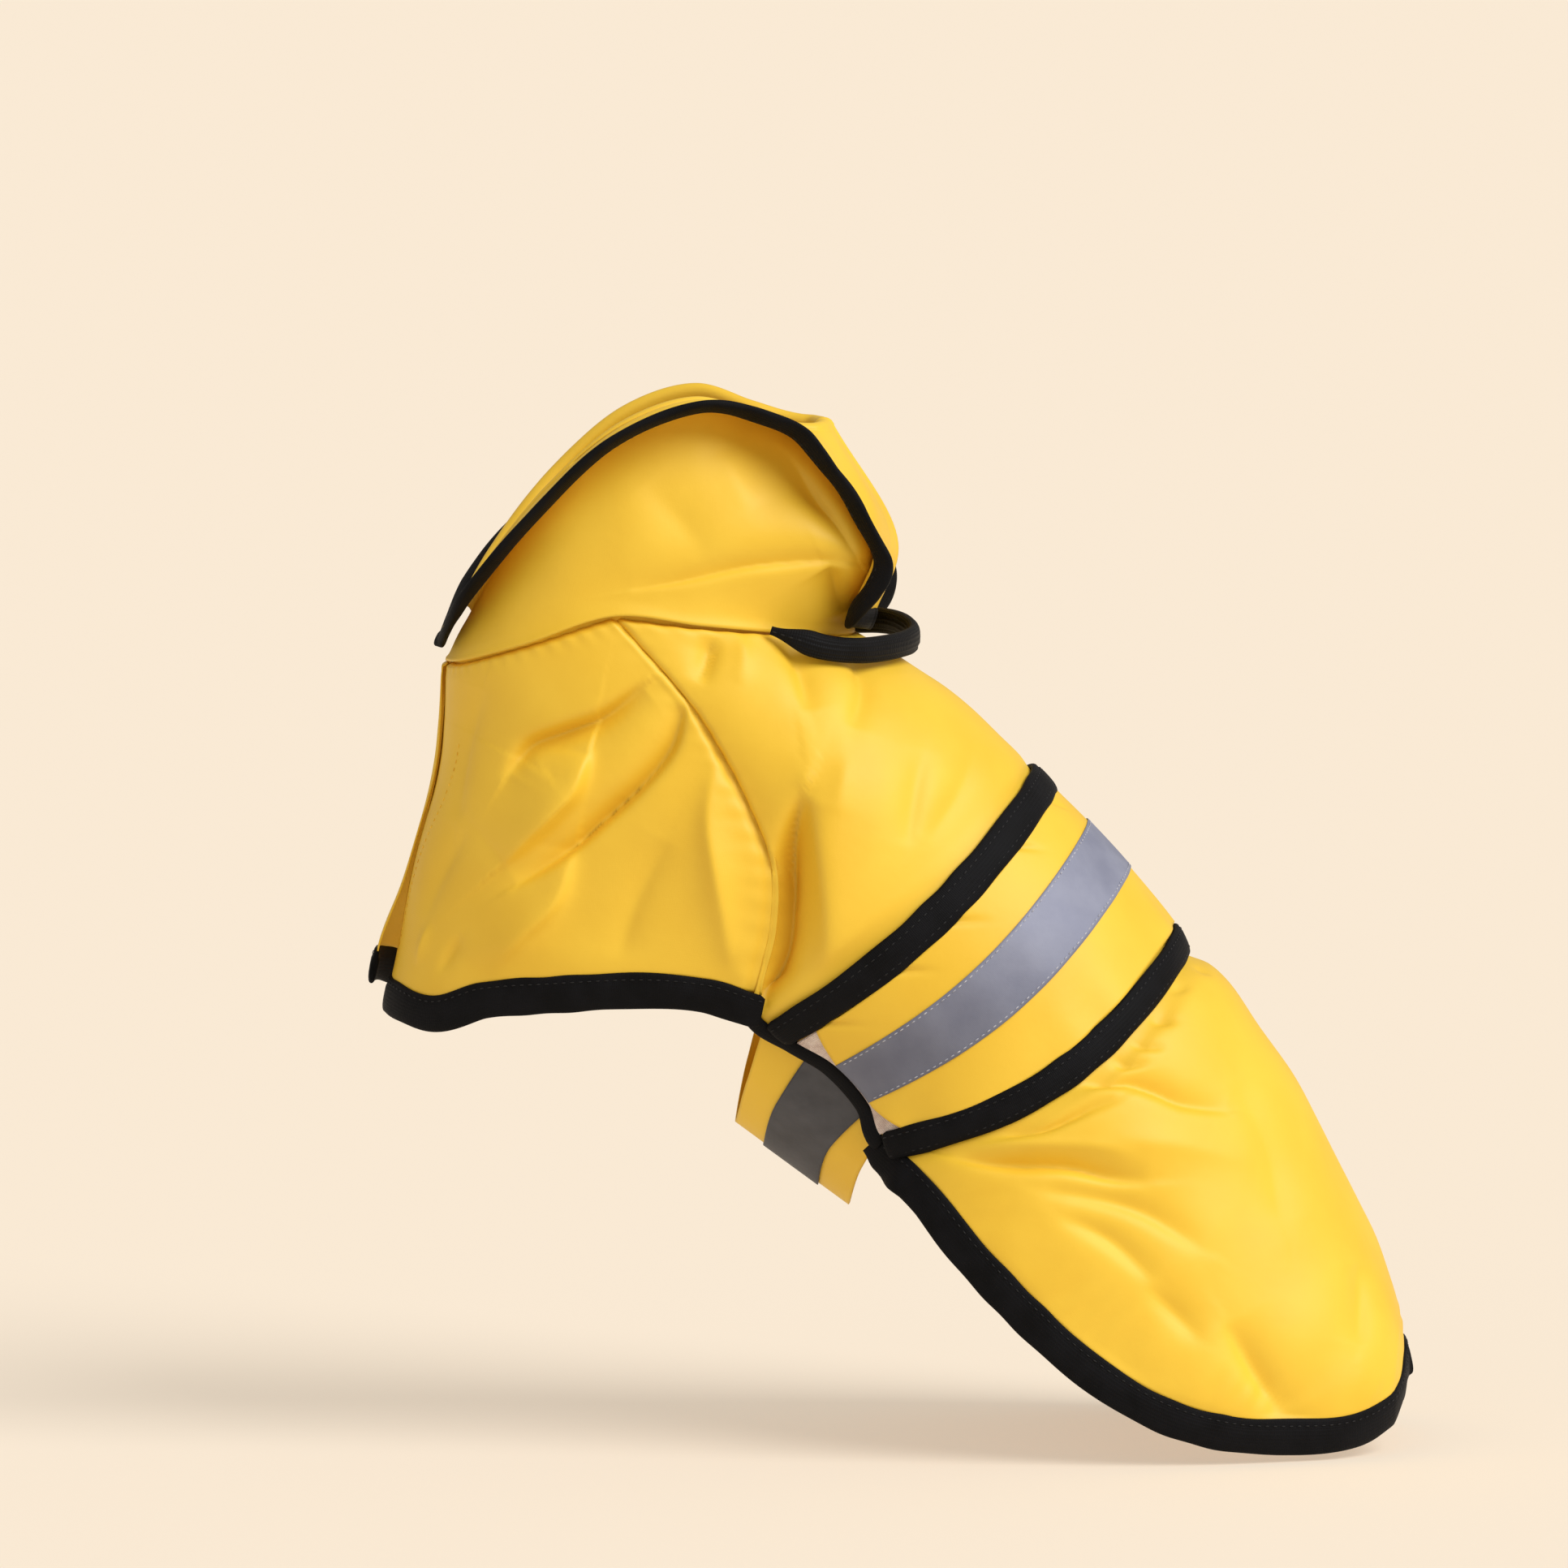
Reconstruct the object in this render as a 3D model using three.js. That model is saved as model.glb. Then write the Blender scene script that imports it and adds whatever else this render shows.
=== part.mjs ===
import * as THREE from 'three';

// Dog raincoat in the shape it takes when worn by a sitting dog: two-piece front, one-piece back,
// waist belt with reflective tape, belly strap, hood turned back over itself and a lead loop.
// Millimetres, +Z up. The coat's front faces -X, its left side -Y.
// The origin lies on the inner face of the back panel, on the centre line over the withers.

// Driving sizes
const CLOTH = 1.5;
const HOOD_CLOTH = 1.2;
const SEAM_GAP = 0.3;
const BINDING_WALL = 3;
const HEM_BINDING_WIDTH = 13;
const SIDE_BINDING_WIDTH = 5;
const HOOD_TRIM_WIDTH = 7;
const TAPE_WALL = 0.6;
const PATCH_WALL = 0.8;
const LOOP_WIDTH = 8;
const LOOP_THICKNESS = 5.5;
const FOLD_RADIUS = 2;

// The side-view points below are read from slightly above level, so a point off the middle
// really lies higher by VIEW_RISE of its distance from the middle.
const VIEW_RISE = Math.tan(THREE.MathUtils.degToRad(5.5));

const FINISHES = {
  cloth: { color: 0xf3c53a, roughness: 0.5 },
  binding: { color: 0x1b1b1e, roughness: 0.65 },
  tape: { color: 0x9a9cab, roughness: 0.45 },
  hook: { color: 0xe8d8cc, roughness: 0.9 },
};

// Back panel, one row for each section from the neck to the tail. top is the centre-line point
// and edge the free edge, both as [x, z] seen from the side. half is the half width of the
// section, wrap the angle in degrees from the centre line round to the edge, and bow how far
// the section sags backwards between them.
const BACK_ROWS = [
  { name: 'neck', top: [-24, 16], edge: [-111.5, 20.4], half: 54, wrap: 97, bow: 0 },
  { name: 'collar slope', top: [-9.3, 8.1], edge: [-85.8, -9.3], half: 62, wrap: 102, bow: 0 },
  { name: 'withers', top: [2.7, 0], edge: [-72, -31.2], half: 67, wrap: 106, bow: 0 },
  { name: 'shoulder', top: [11.7, -6.3], edge: [-62.7, -49.5], half: 71, wrap: 109, bow: 1 },
  { name: 'shoulder point', top: [21.3, -14.1], edge: [-54.9, -71.1], half: 74, wrap: 112, bow: 2 },
  { name: 'ribs', top: [31.5, -24], edge: [-55.2, -94.8], half: 75, wrap: 116, bow: 4 },
  { name: 'seam end', top: [38.1, -30.6], edge: [-60.6, -118.5], half: 75, wrap: 120, bow: 5 },
  { name: 'belt start', top: [42, -36], edge: [-57.6, -128], half: 73.5, wrap: 124, bow: 6 },
  { name: 'belt cloth', top: [49.6, -44.3], edge: [-45, -136], half: 72, wrap: 127, bow: 6 },
  { name: 'tape start', top: [61.3, -56], edge: [-31, -144.5], half: 72, wrap: 128, bow: 7 },
  { name: 'tape end', top: [77.1, -73.3], edge: [-18.5, -158.5], half: 72, wrap: 128, bow: 8 },
  { name: 'belt rear', top: [93.3, -93.9], edge: [-14.2, -170.5], half: 73, wrap: 126, bow: 11.5 },
  { name: 'belt end', top: [99.2, -104], edge: [-6.6, -177.5], half: 74, wrap: 123, bow: 11.5 },
  { name: 'puff', top: [108.5, -108.5], edge: [0, -183], half: 80, wrap: 119, bow: 10 },
  { name: 'croup', top: [116, -115.5], edge: [7.5, -191], half: 83, wrap: 112, bow: 7.5 },
  { name: 'haunch', top: [126.5, -131], edge: [22.2, -209.7], half: 86, wrap: 104, bow: 4 },
  { name: 'thigh', top: [139.5, -149.1], edge: [46.8, -235.5], half: 87, wrap: 97, bow: 2 },
  { name: 'skirt', top: [148.5, -166], edge: [68.1, -253.8], half: 87, wrap: 93, bow: 1 },
  { name: 'skirt mid', top: [156.6, -181.8], edge: [91.2, -267.6], half: 86, wrap: 90, bow: 0 },
  { name: 'skirt rear', top: [163.8, -196.2], edge: [114, -274.5], half: 82, wrap: 90, bow: 0 },
  { name: 'rump', top: [170.4, -209.7], edge: [137.1, -276], half: 74, wrap: 90, bow: 0 },
  { name: 'tail', top: [175.3, -223.5], edge: [159.5, -274.5], half: 64, wrap: 90, bow: 0 },
  { name: 'tail corner', top: [178.8, -235.4], edge: [174.5, -267], half: 48, wrap: 90, bow: 0 },
  { name: 'tail turn', top: [180, -242.3], edge: [179, -258.5], half: 31, wrap: 90, bow: 0 },
  { name: 'tail end', top: [180.4, -247], edge: [180.4, -251], half: 14, wrap: 90, bow: 0 },
];

// Front panels: where the section that leaves the back panel's edge at each named row reaches
// the middle of the chest.
const FRONT_ROWS = [
  { name: 'neck', centre: [-173.7, 4.5] },
  { name: 'collar slope', centre: [-174.3, -12] },
  { name: 'withers', centre: [-176.2, -26] },
  { name: 'shoulder', centre: [-179, -40] },
  { name: 'shoulder point', centre: [-183, -59] },
  { name: 'ribs', centre: [-188.5, -84] },
  { name: 'seam end', centre: [-194.4, -112.5] },
];

// Rise of the front hem above the straight line from the seam to the chest.
const HEM_RISE = [
  { along: 0, rise: 0 },
  { along: 0.12, rise: 5 },
  { along: 0.3, rise: 7 },
  { along: 0.55, rise: 5 },
  { along: 0.75, rise: 2 },
  { along: 0.88, rise: -4 },
  { along: 1, rise: 0 },
];
const HEM_RISE_FROM = 0.55;
const CHEST_SQUARENESS = 2.4;

// Shares of a panel's width: where the chest panels start beside the raglan seam, where the left
// one and its binding end under the right one, where the right one ends, where its rise over the
// left one begins and is complete, and where the belt ends before the panel's edge.
const SEAM_SHARE = 0.0028;
const UNDERLAP = 1.02;
const UNDERLAP_BINDING = 0.96;
const OVERLAP = 1.05;
const LAP_RISE = [0.72, 0.95];
const BELT_REACH = 0.96;
const HOOK_REACH = 0.963;

// Main folds, each a soft trough (depth below zero) or ridge along a line from one [x, z] to the
// other, as the side view shows it. width holds the half width at each end.
const BACK_FOLDS = [
  { from: [-39, -40], to: [-51, -112], width: [3.5, 9], depth: -6.5 },
  { from: [-39, -2], to: [-60, -42], width: [8, 11], depth: -2.5 },
  { from: [55, -151], to: [113, -160], width: [4, 6], depth: -3 },
  { from: [28, -168], to: [68, -157], width: [4, 5], depth: -2.5 },
  { from: [4, -177], to: [84, -187], width: [6, 10], depth: -4 },
  { from: [45, -192], to: [100, -222], width: [8, 13], depth: -3 },
  { from: [60, -178], to: [125, -186], width: [8, 12], depth: 2.5 },
  { from: [123, -226], to: [131, -272], width: [8, 13], depth: -3.5 },
  { from: [86, -128], to: [101, -124], width: [4, 5], depth: -2 },
];
const FRONT_FOLDS = [
  { from: [-100, -3], to: [-153, -34], width: [6, 8], depth: -4 },
  { from: [-88, -19], to: [-113, -55], width: [7, 9], depth: -4 },
  { from: [-113, -55], to: [-146, -80], width: [8, 10], depth: -4 },
  { from: [-105, -32], to: [-150, -66], width: [6, 7], depth: 2.5 },
  { from: [-72, -58], to: [-71, -106], width: [7, 10], depth: 4.5 },
];
const FAR_SIDE = { shift: [7, -5], depth: 0.85 };

// The far chest panel's lower front corner turns up and flares forwards.
const FAR_CORNER = { at: [-193, -103], reach: 20, flare: 5.5, rise: 5, turn: [0.8, 1] };

// Where the folds fade out: distances from the middle, neck, hem and belt, and the share of the
// panel's width beside its edge.
const FADE = { middle: [4, 24], neck: [2, 16], hem: [0, 12], belt: [1, 10], edge: [0.01, 0.1] };

// Hood, one row for each profile from the throat round to the centre back. round is the share of
// the neck ring gone by. mid is a point half-way up the standing funnel and rim the line where
// the cloth turns over, both [x, y, z]. The turned-over flap passes through hang and ends at
// free. faces is the way the rim looks in plan: 180 forwards, 90 sideways, 0 backwards.
const HOOD_ROWS = [
  { round: 0, mid: [-171, -0.3, 13], rim: [-166, -0.3, 22], hang: [-171.5, -0.3, 20],
    free: [-174, -0.3, 15], faces: 180 },
  { round: 0.14, mid: [-160, -25, 24], rim: [-155, -21, 40], hang: [-160, -26, 36],
    free: [-163, -30, 29], faces: 145 },
  { round: 0.28, mid: [-142, -42, 36], rim: [-134, -34, 67], hang: [-138, -41, 63],
    free: [-140, -46, 56], faces: 120 },
  { round: 0.42, mid: [-116, -50, 45], rim: [-108, -35, 90], hang: [-109, -43, 89],
    free: [-110, -48.5, 84], faces: 100 },
  { round: 0.56, mid: [-84, -51.5, 50], rim: [-82, -31, 99], hang: [-81, -40, 99.5],
    free: [-79, -46.5, 96], faces: 90 },
  { round: 0.68, mid: [-54, -49.5, 50], rim: [-62, -24, 94], hang: [-60, -33.5, 95.5],
    free: [-57, -41.5, 93], faces: 80 },
  { round: 0.76, mid: [-34, -48, 48], rim: [-50, -22, 90.5], hang: [-45.5, -35, 91.5],
    free: [-41, -44, 87.5], faces: 68 },
  { round: 0.82, mid: [-23.5, -45, 46], rim: [-44, -20, 89.5], hang: [-36, -38, 85],
    free: [-30.5, -47, 74.5], faces: 50 },
  { round: 0.87, mid: [-18, -39, 45], rim: [-40, -18, 89.5], hang: [-26.5, -36, 75],
    free: [-20.5, -47.5, 60.3], faces: 35 },
  { round: 0.91, mid: [-15.5, -31, 44], rim: [-38, -13, 90], hang: [-18, -33, 65.5],
    free: [-12.5, -46.5, 43], faces: 22 },
  { round: 0.94, mid: [-14.8, -22, 43.5], rim: [-37, -9, 90.5], hang: [-12.5, -27, 57],
    free: [-14.5, -44.5, 32], faces: 12 },
  { round: 0.97, mid: [-14.6, -13, 43], rim: [-36.6, -5.5, 91], hang: [-10.2, -18, 51],
    free: [-21, -38, 23.5], faces: 6 },
  { round: 0.985, mid: [-14.5, -6.5, 43], rim: [-36.5, -2.8, 91], hang: [-9.2, -9.5, 49],
    free: [-19, -20, 23], faces: 3 },
  { round: 1, mid: [-14.5, -0.2, 43], rim: [-36.5, -0.2, 91], hang: [-9, -0.2, 48],
    free: [-17, -0.2, 24], faces: 0 },
];
const THROAT_SHARE = 0.42;
const HOOD_STEPS = 26;
const PROFILE_STEPS = 5;
const RIM_TURNS = 4;
const NECK_PLAY = 0.1;
const TRIM_GAP = 0.5;

// Bindings of the free edges: where the side binding starts before the belt, the play between it
// and the skirt binding, and the shares of the last section that the binding turns round on.
const SIDE_BINDING_LEAD = 2;
const BINDING_PLAY = 0.4;
const TAIL_SHARES = [-0.6, 0, 0.6];

// Belly strap: where its front and rear edges pass under the body, and the shares of the back
// panel's width where it is tucked under.
const STRAP_FRONT = { side: [-62.5, -150], bottom: [-66.9, -165.9] };
const STRAP_REAR = { side: [-20.5, -183], bottom: [-24.9, -196.8] };
const STRAP_TUCK = [-0.92, -0.96];
const STRAP_START = 3;
const STRAP_END = 1;
const STRAP_SIDE_HALF = 37;
const STRAP_DROP = 0.8;
const STRAP_SHARES = [0, 0.26, 0.5, 0.74, 1];
const STRAP_STEPS = 22;

// Lead loop, from the near end of the neck seam round the tip to the far end. Its far strand
// stands higher than the near one.
const LOOP_STEPS = 24;
const LOOP_SEGMENTS = 4;
const LOOP_ROUTE = [
  [-54, -47.6, 20.2],
  [-44, -48.5, 17],
  [-35, -46.5, 14],
  [-23, -39, 12],
  [-9, -22, 12],
  [-1.2, 0, 13.5],
  [-6, 18, 16.5],
  [-14, 32, 17],
  [-28, 44, 16],
  [-44, 48.5, 17],
  [-54, 47.6, 20.2],
];

const lerp = THREE.MathUtils.lerp;
const smooth = THREE.MathUtils.smoothstep;

const raised = ([x, y, z]) => new THREE.Vector3(x, y, z + VIEW_RISE * Math.abs(y));

// Curves through table rows

function hermite(stations, values, s) {
  const last = stations.length - 1;
  let i = 0;
  while (i < last - 1 && s > stations[i + 1]) i += 1;
  const span = stations[i + 1] - stations[i];
  const slope = (k) => {
    const a = Math.max(k - 1, 0);
    const b = Math.min(k + 1, last);
    return (values[b] - values[a]) / (stations[b] - stations[a]);
  };
  const u = (s - stations[i]) / span;
  const u2 = u * u;
  const u3 = u2 * u;
  return values[i] * (2 * u3 - 3 * u2 + 1) + values[i + 1] * (3 * u2 - 2 * u3)
    + slope(i) * span * (u3 - 2 * u2 + u) + slope(i + 1) * span * (u3 - u2);
}

function stationsOf(rows, first, second) {
  const stations = [0];
  for (let i = 1; i < rows.length; i += 1) {
    const a = Math.hypot(rows[i][first][0] - rows[i - 1][first][0],
      rows[i][first][1] - rows[i - 1][first][1]);
    const b = Math.hypot(rows[i][second][0] - rows[i - 1][second][0],
      rows[i][second][1] - rows[i - 1][second][1]);
    stations.push(stations[i - 1] + (a + b) / 2);
  }
  return stations;
}

// Folds, worked out in the side view

function foldDepth(fold, x, z) {
  const [x0, z0] = fold.from;
  const [x1, z1] = fold.to;
  const length = Math.hypot(x1 - x0, z1 - z0);
  const along = ((x - x0) * (x1 - x0) + (z - z0) * (z1 - z0)) / (length * length);
  const share = THREE.MathUtils.clamp(along, 0, 1);
  const away = Math.hypot(x - lerp(x0, x1, share), z - lerp(z0, z1, share));
  const width = lerp(fold.width[0], fold.width[1], share);
  return fold.depth * Math.exp(-((away / width) ** 2));
}

function foldSum(folds, x, y, z) {
  const far = y > 0;
  const dx = far ? FAR_SIDE.shift[0] : 0;
  const dz = far ? FAR_SIDE.shift[1] : 0;
  const seen = z - VIEW_RISE * Math.abs(y);
  const total = folds.reduce((sum, fold) => sum + foldDepth(fold, x - dx, seen - dz), 0);
  return total * (far ? FAR_SIDE.depth : 1) * smooth(Math.abs(y), ...FADE.middle);
}

// Surfaces: point(s, t) with a way to step off it along the outward normal. PROBE holds the small
// steps in s and t that the normal is measured over, and turn is -1 where s and t run the other
// way round.

const PROBE = [0.02, 0.0004];

function surfaceOf(base, relief, turn = 1) {
  const normalOf = (point, s, t) => {
    const ds = point(s + PROBE[0], t).sub(point(s - PROBE[0], t));
    const dt = point(s, t + PROBE[1]).sub(point(s, t - PROBE[1]));
    return ds.cross(dt).normalize().multiplyScalar(turn);
  };
  const point = (s, t) => base(s, t).addScaledVector(normalOf(base, s, t), relief(s, t, base(s, t)));
  return {
    point,
    normal: (s, t) => normalOf(point, s, t),
    lifted(s, t, lift) {
      return point(s, t).addScaledVector(normalOf(point, s, t), lift);
    },
  };
}

// Back panel's form

const backStations = stationsOf(BACK_ROWS, 'top', 'edge');
const backStation = (name) => backStations[BACK_ROWS.findIndex((row) => row.name === name)];
const backColumn = (read) => BACK_ROWS.map(read);
const backColumns = {
  topX: backColumn((row) => row.top[0]),
  topZ: backColumn((row) => row.top[1]),
  edgeX: backColumn((row) => row.edge[0]),
  edgeZ: backColumn((row) => row.edge[1]),
  half: backColumn((row) => row.half),
  wrap: backColumn((row) => THREE.MathUtils.degToRad(row.wrap)),
  bow: backColumn((row) => row.bow),
};

function backBase(s, t) {
  const at = (name) => hermite(backStations, backColumns[name], s);
  const top = new THREE.Vector2(at('topX'), at('topZ'));
  const wrap = at('wrap');
  const rise = VIEW_RISE * at('half') * Math.sin(wrap);
  const run = new THREE.Vector2(at('edgeX'), at('edgeZ') + rise).sub(top);
  const share = (1 - Math.cos(t * wrap)) / (1 - Math.cos(wrap));
  const sag = at('bow') * Math.sin(Math.PI * Math.min(share, 1));
  const across = new THREE.Vector2(-run.y, run.x).normalize();
  const place = top.addScaledVector(run, share).addScaledVector(across, sag);
  return new THREE.Vector3(place.x, at('half') * Math.sin(t * wrap), place.y);
}

const beltStart = backStation('belt start');
const beltEnd = backStation('belt end');

function backRelief(s, t, at) {
  const offBelt = smooth(s < beltStart ? beltStart - s : s - beltEnd, ...FADE.belt);
  const offEdge = smooth(1 - Math.abs(t), ...FADE.edge);
  const offNeck = smooth(s, ...FADE.neck);
  return foldSum(BACK_FOLDS, at.x, at.y, at.z) * offBelt * offEdge * offNeck;
}

const back = surfaceOf(backBase, backRelief);

// Front panels' form. side is -1 for the near panel and 1 for the far one.

const frontStations = FRONT_ROWS.map((row) => backStation(row.name));
const frontEnd = frontStations[frontStations.length - 1];
const chestX = FRONT_ROWS.map((row) => row.centre[0]);
const chestZ = FRONT_ROWS.map((row) => row.centre[1]);
const hemAlong = HEM_RISE.map((row) => row.along);
const hemRises = HEM_RISE.map((row) => row.rise);

function frontBase(s, t, side) {
  const seam = backBase(s, side);
  const forward = Math.sin((t * Math.PI) / 2);
  const sideways = Math.cos((t * Math.PI) / 2);
  const power = CHEST_SQUARENESS;
  const size = (Math.abs(forward) ** power + Math.abs(sideways) ** power) ** (-1 / power);
  const share = forward * size;
  const low = smooth(s / frontEnd, HEM_RISE_FROM, 1);
  const hem = low * hermite(hemAlong, hemRises, share);
  const upturn = side > 0 ? low * FAR_CORNER.rise * smooth(share, ...FAR_CORNER.turn) : 0;
  return new THREE.Vector3(
    lerp(seam.x, hermite(frontStations, chestX, s - upturn), share),
    seam.y * sideways * size,
    lerp(seam.z, hermite(frontStations, chestZ, s - upturn), share) + hem,
  );
}

function frontRelief(s, t, at, side) {
  const offSeam = smooth(t, ...FADE.edge);
  const offNeck = smooth(s, ...FADE.neck);
  const offHem = smooth(frontEnd - s, ...FADE.hem);
  const folds = foldSum(FRONT_FOLDS, at.x, at.y, at.z) * offSeam * offNeck * offHem;
  const away = Math.hypot(at.x - FAR_CORNER.at[0], at.z - FAR_CORNER.at[1]) / FAR_CORNER.reach;
  const corner = FAR_CORNER.flare * Math.exp(-away * away);
  const lap = smooth(t, ...LAP_RISE) * (CLOTH + SEAM_GAP);
  return side > 0 ? folds + lap + corner : folds;
}

function frontSurface(side) {
  const base = side < 0 ? (s, t) => frontBase(s, t, -1) : (s, t) => frontBase(s, 2 - t, 1);
  const relief = (s, t, at) => frontRelief(s, side < 0 ? t : 2 - t, at, side);
  const surface = surfaceOf(base, relief, -1);
  surface.across = side < 0 ? (t) => t : (t) => 2 - t;
  return surface;
}

const frontNear = frontSurface(-1);
const frontFar = frontSurface(1);

// Closed walls

function wallGeometry(outer, inner) {
  const rows = outer.length;
  const columns = outer[0].length;
  const points = [...outer.flat(), ...inner.flat()];
  const layer = rows * columns;
  const index = (i, j, under) => i * columns + j + (under ? layer : 0);
  const triangles = [];
  const quad = (a, b, c, d) => triangles.push(a, b, c, a, c, d);
  for (let i = 0; i < rows - 1; i += 1) {
    for (let j = 0; j < columns - 1; j += 1) {
      quad(index(i, j), index(i + 1, j), index(i + 1, j + 1), index(i, j + 1));
      quad(index(i, j, true), index(i, j + 1, true), index(i + 1, j + 1, true),
        index(i + 1, j, true));
    }
  }
  for (let i = 0; i < rows - 1; i += 1) {
    const j = columns - 1;
    quad(index(i, 0), index(i, 0, true), index(i + 1, 0, true), index(i + 1, 0));
    quad(index(i, j), index(i + 1, j), index(i + 1, j, true), index(i, j, true));
  }
  for (let j = 0; j < columns - 1; j += 1) {
    const i = rows - 1;
    quad(index(0, j), index(0, j + 1), index(0, j + 1, true), index(0, j, true));
    quad(index(i, j), index(i, j, true), index(i, j + 1, true), index(i, j + 1));
  }
  if (signedVolume(points, triangles) < 0) triangles.reverse();
  const geometry = new THREE.BufferGeometry();
  geometry.setAttribute('position',
    new THREE.Float32BufferAttribute(points.flatMap((p) => p.toArray()), 3));
  geometry.setIndex(triangles);
  geometry.computeVertexNormals();
  return geometry;
}

function signedVolume(points, triangles) {
  let volume = 0;
  for (let k = 0; k < triangles.length; k += 3) {
    const [a, b, c] = [points[triangles[k]], points[triangles[k + 1]], points[triangles[k + 2]]];
    volume += a.dot(b.clone().cross(c)) / 6;
  }
  return volume;
}

function spread(from, to, steps) {
  return Array.from({ length: steps + 1 }, (_, k) => lerp(from, to, k / steps));
}

// Every piece on or beside a panel uses that panel's own steps, so that their facets run parallel.
// A step longer than LONG_STEP is halved, and one shorter than SHORT_STEP at either end left out.

const LONG_STEP = 17;
const SHORT_STEP = 0.5;

function stepsAlong(from, to) {
  const steps = [from];
  backStations.forEach((station, k) => {
    const before = backStations[k - 1];
    if (k > 0 && station - before > LONG_STEP) steps.push((station + before) / 2);
    steps.push(station);
  });
  const kept = steps.filter((station) => station > from + SHORT_STEP
    && station < to - SHORT_STEP);
  return [from, ...kept, to];
}

const BACK_ACROSS = [-1, ...spread(-BELT_REACH, BELT_REACH, 26), 1];
const FRONT_ACROSS = spread(0, 1, 12);

// A piece lying on a surface, from lift low to lift high
function patch(surface, sValues, tValues, low, high) {
  const layer = (lift) => sValues.map((s) => tValues.map((t) => surface.lifted(s, t, lift)));
  return wallGeometry(layer(high), layer(low));
}

// A binding that carries a surface on past its edge. frames holds, for each step along the
// edge, the edge point, the outward normal and the way on past the edge.
function edgeStrip(frames, width, low, high, gap = SEAM_GAP) {
  const corner = (frame, past, lift) => frame.point.clone()
    .addScaledVector(frame.past, past).addScaledVector(frame.normal, lift);
  const layer = (lift) => frames.map((frame) => [
    corner(frame, gap, lift),
    corner(frame, width / 2, lift),
    corner(frame, width, lift),
  ]);
  return wallGeometry(layer(high), layer(low));
}

// inside gives, for a place on the edge, one that lies a little way in from it
function edgeFrames(surface, places, inside) {
  const points = places.map(([s, t]) => surface.point(s, t));
  return points.map((point, k) => {
    const tangent = points[Math.min(k + 1, points.length - 1)].clone()
      .sub(points[Math.max(k - 1, 0)]);
    const normal = surface.normal(...places[k]);
    const past = tangent.cross(normal).normalize();
    const [s, t] = inside(places[k]);
    if (past.dot(surface.point(s, t).sub(point)) > 0) past.negate();
    return { point, normal, past };
  });
}

function piece(name, geometry, finish) {
  const mesh = new THREE.Mesh(geometry, new THREE.MeshStandardMaterial(finish));
  mesh.name = name;
  return mesh;
}

const cloth = (name, geometry) => piece(name, geometry, FINISHES.cloth);
const binding = (name, geometry) => piece(name, geometry, FINISHES.binding);
const tape = (name, geometry) => piece(name, geometry, FINISHES.tape);

// Panels

const tailEnd = backStations[backStations.length - 1];

function backPanel() {
  return cloth('back_panel', patch(back, stepsAlong(0, tailEnd), BACK_ACROSS, -CLOTH, 0));
}

const stepIn = { along: 2, across: 0.97 };

function frontAcross(surface, last) {
  return [SEAM_SHARE, ...FRONT_ACROSS.slice(1, -1), last].map(surface.across);
}

function frontPanel(name, surface, last) {
  return cloth(name, patch(surface, stepsAlong(0, frontEnd), frontAcross(surface, last),
    -CLOTH, 0));
}

function frontHemBinding(name, surface, last) {
  const places = frontAcross(surface, last).map((t) => [frontEnd, t]);
  const frames = edgeFrames(surface, places, ([s, t]) => [s - stepIn.along, t]);
  return binding(name, edgeStrip(frames, HEM_BINDING_WIDTH, -CLOTH, BINDING_WALL - CLOTH));
}

// Bindings of the back panel's free edges

function sideBinding(name, side) {
  const places = stepsAlong(beltStart - SIDE_BINDING_LEAD, backStation('belt rear') - BINDING_PLAY)
    .map((s) => [s, side]);
  const frames = edgeFrames(back, places, ([s, t]) => [s, t * stepIn.across]);
  return binding(name, edgeStrip(frames, SIDE_BINDING_WIDTH, -CLOTH, BINDING_WALL - CLOTH));
}

function skirtBinding() {
  const stations = stepsAlong(backStation('belt rear') + BINDING_PLAY, tailEnd);
  const near = stations.map((s) => [s, -1]);
  const tail = TAIL_SHARES.map((t) => [tailEnd, t]);
  const far = stations.reverse().map((s) => [s, 1]);
  const inside = ([s, t]) => (Math.abs(t) < 1
    ? [s - stepIn.along, t * stepIn.across]
    : [s - stepIn.along / 10, t * stepIn.across]);
  const frames = edgeFrames(back, [...near, ...tail, ...far], inside);
  return binding('skirt_binding', edgeStrip(frames, HEM_BINDING_WIDTH, -CLOTH,
    BINDING_WALL - CLOTH));
}

// Belt over the back, its bindings, its tape and the hook patches under its ends

function beltPiece(from, to, reach, low, high) {
  const across = BACK_ACROSS.filter((t) => Math.abs(t) <= reach);
  const along = stepsAlong(backStation(from) + SEAM_GAP / 2, backStation(to) - SEAM_GAP / 2);
  return patch(back, along, across, low, high);
}

function beltPieces() {
  const low = SEAM_GAP;
  const clothTop = low + CLOTH;
  const rim = low + BINDING_WALL;
  const tapeLow = clothTop + SEAM_GAP;
  return [
    binding('belt_front_binding', beltPiece('belt start', 'belt cloth', 1, low, rim)),
    cloth('belt', beltPiece('belt cloth', 'belt rear', BELT_REACH, low, clothTop)),
    tape('belt_tape', beltPiece('tape start', 'tape end', BELT_REACH, tapeLow,
      tapeLow + TAPE_WALL)),
    binding('belt_rear_binding', beltPiece('belt rear', 'belt end', 1, low, rim)),
  ];
}

function hookPatch(name, side) {
  const stations = stepsAlong(backStation('belt cloth') + SEAM_GAP,
    backStation('belt rear') - SEAM_GAP);
  const across = [HOOK_REACH, 1].map((t) => side * t);
  const geometry = patch(back, stations, across, SEAM_GAP, SEAM_GAP + PATCH_WALL);
  return piece(name, geometry, FINISHES.hook);
}

// Belly strap: tucked under the back panel's side edges and passing under the body

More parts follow.
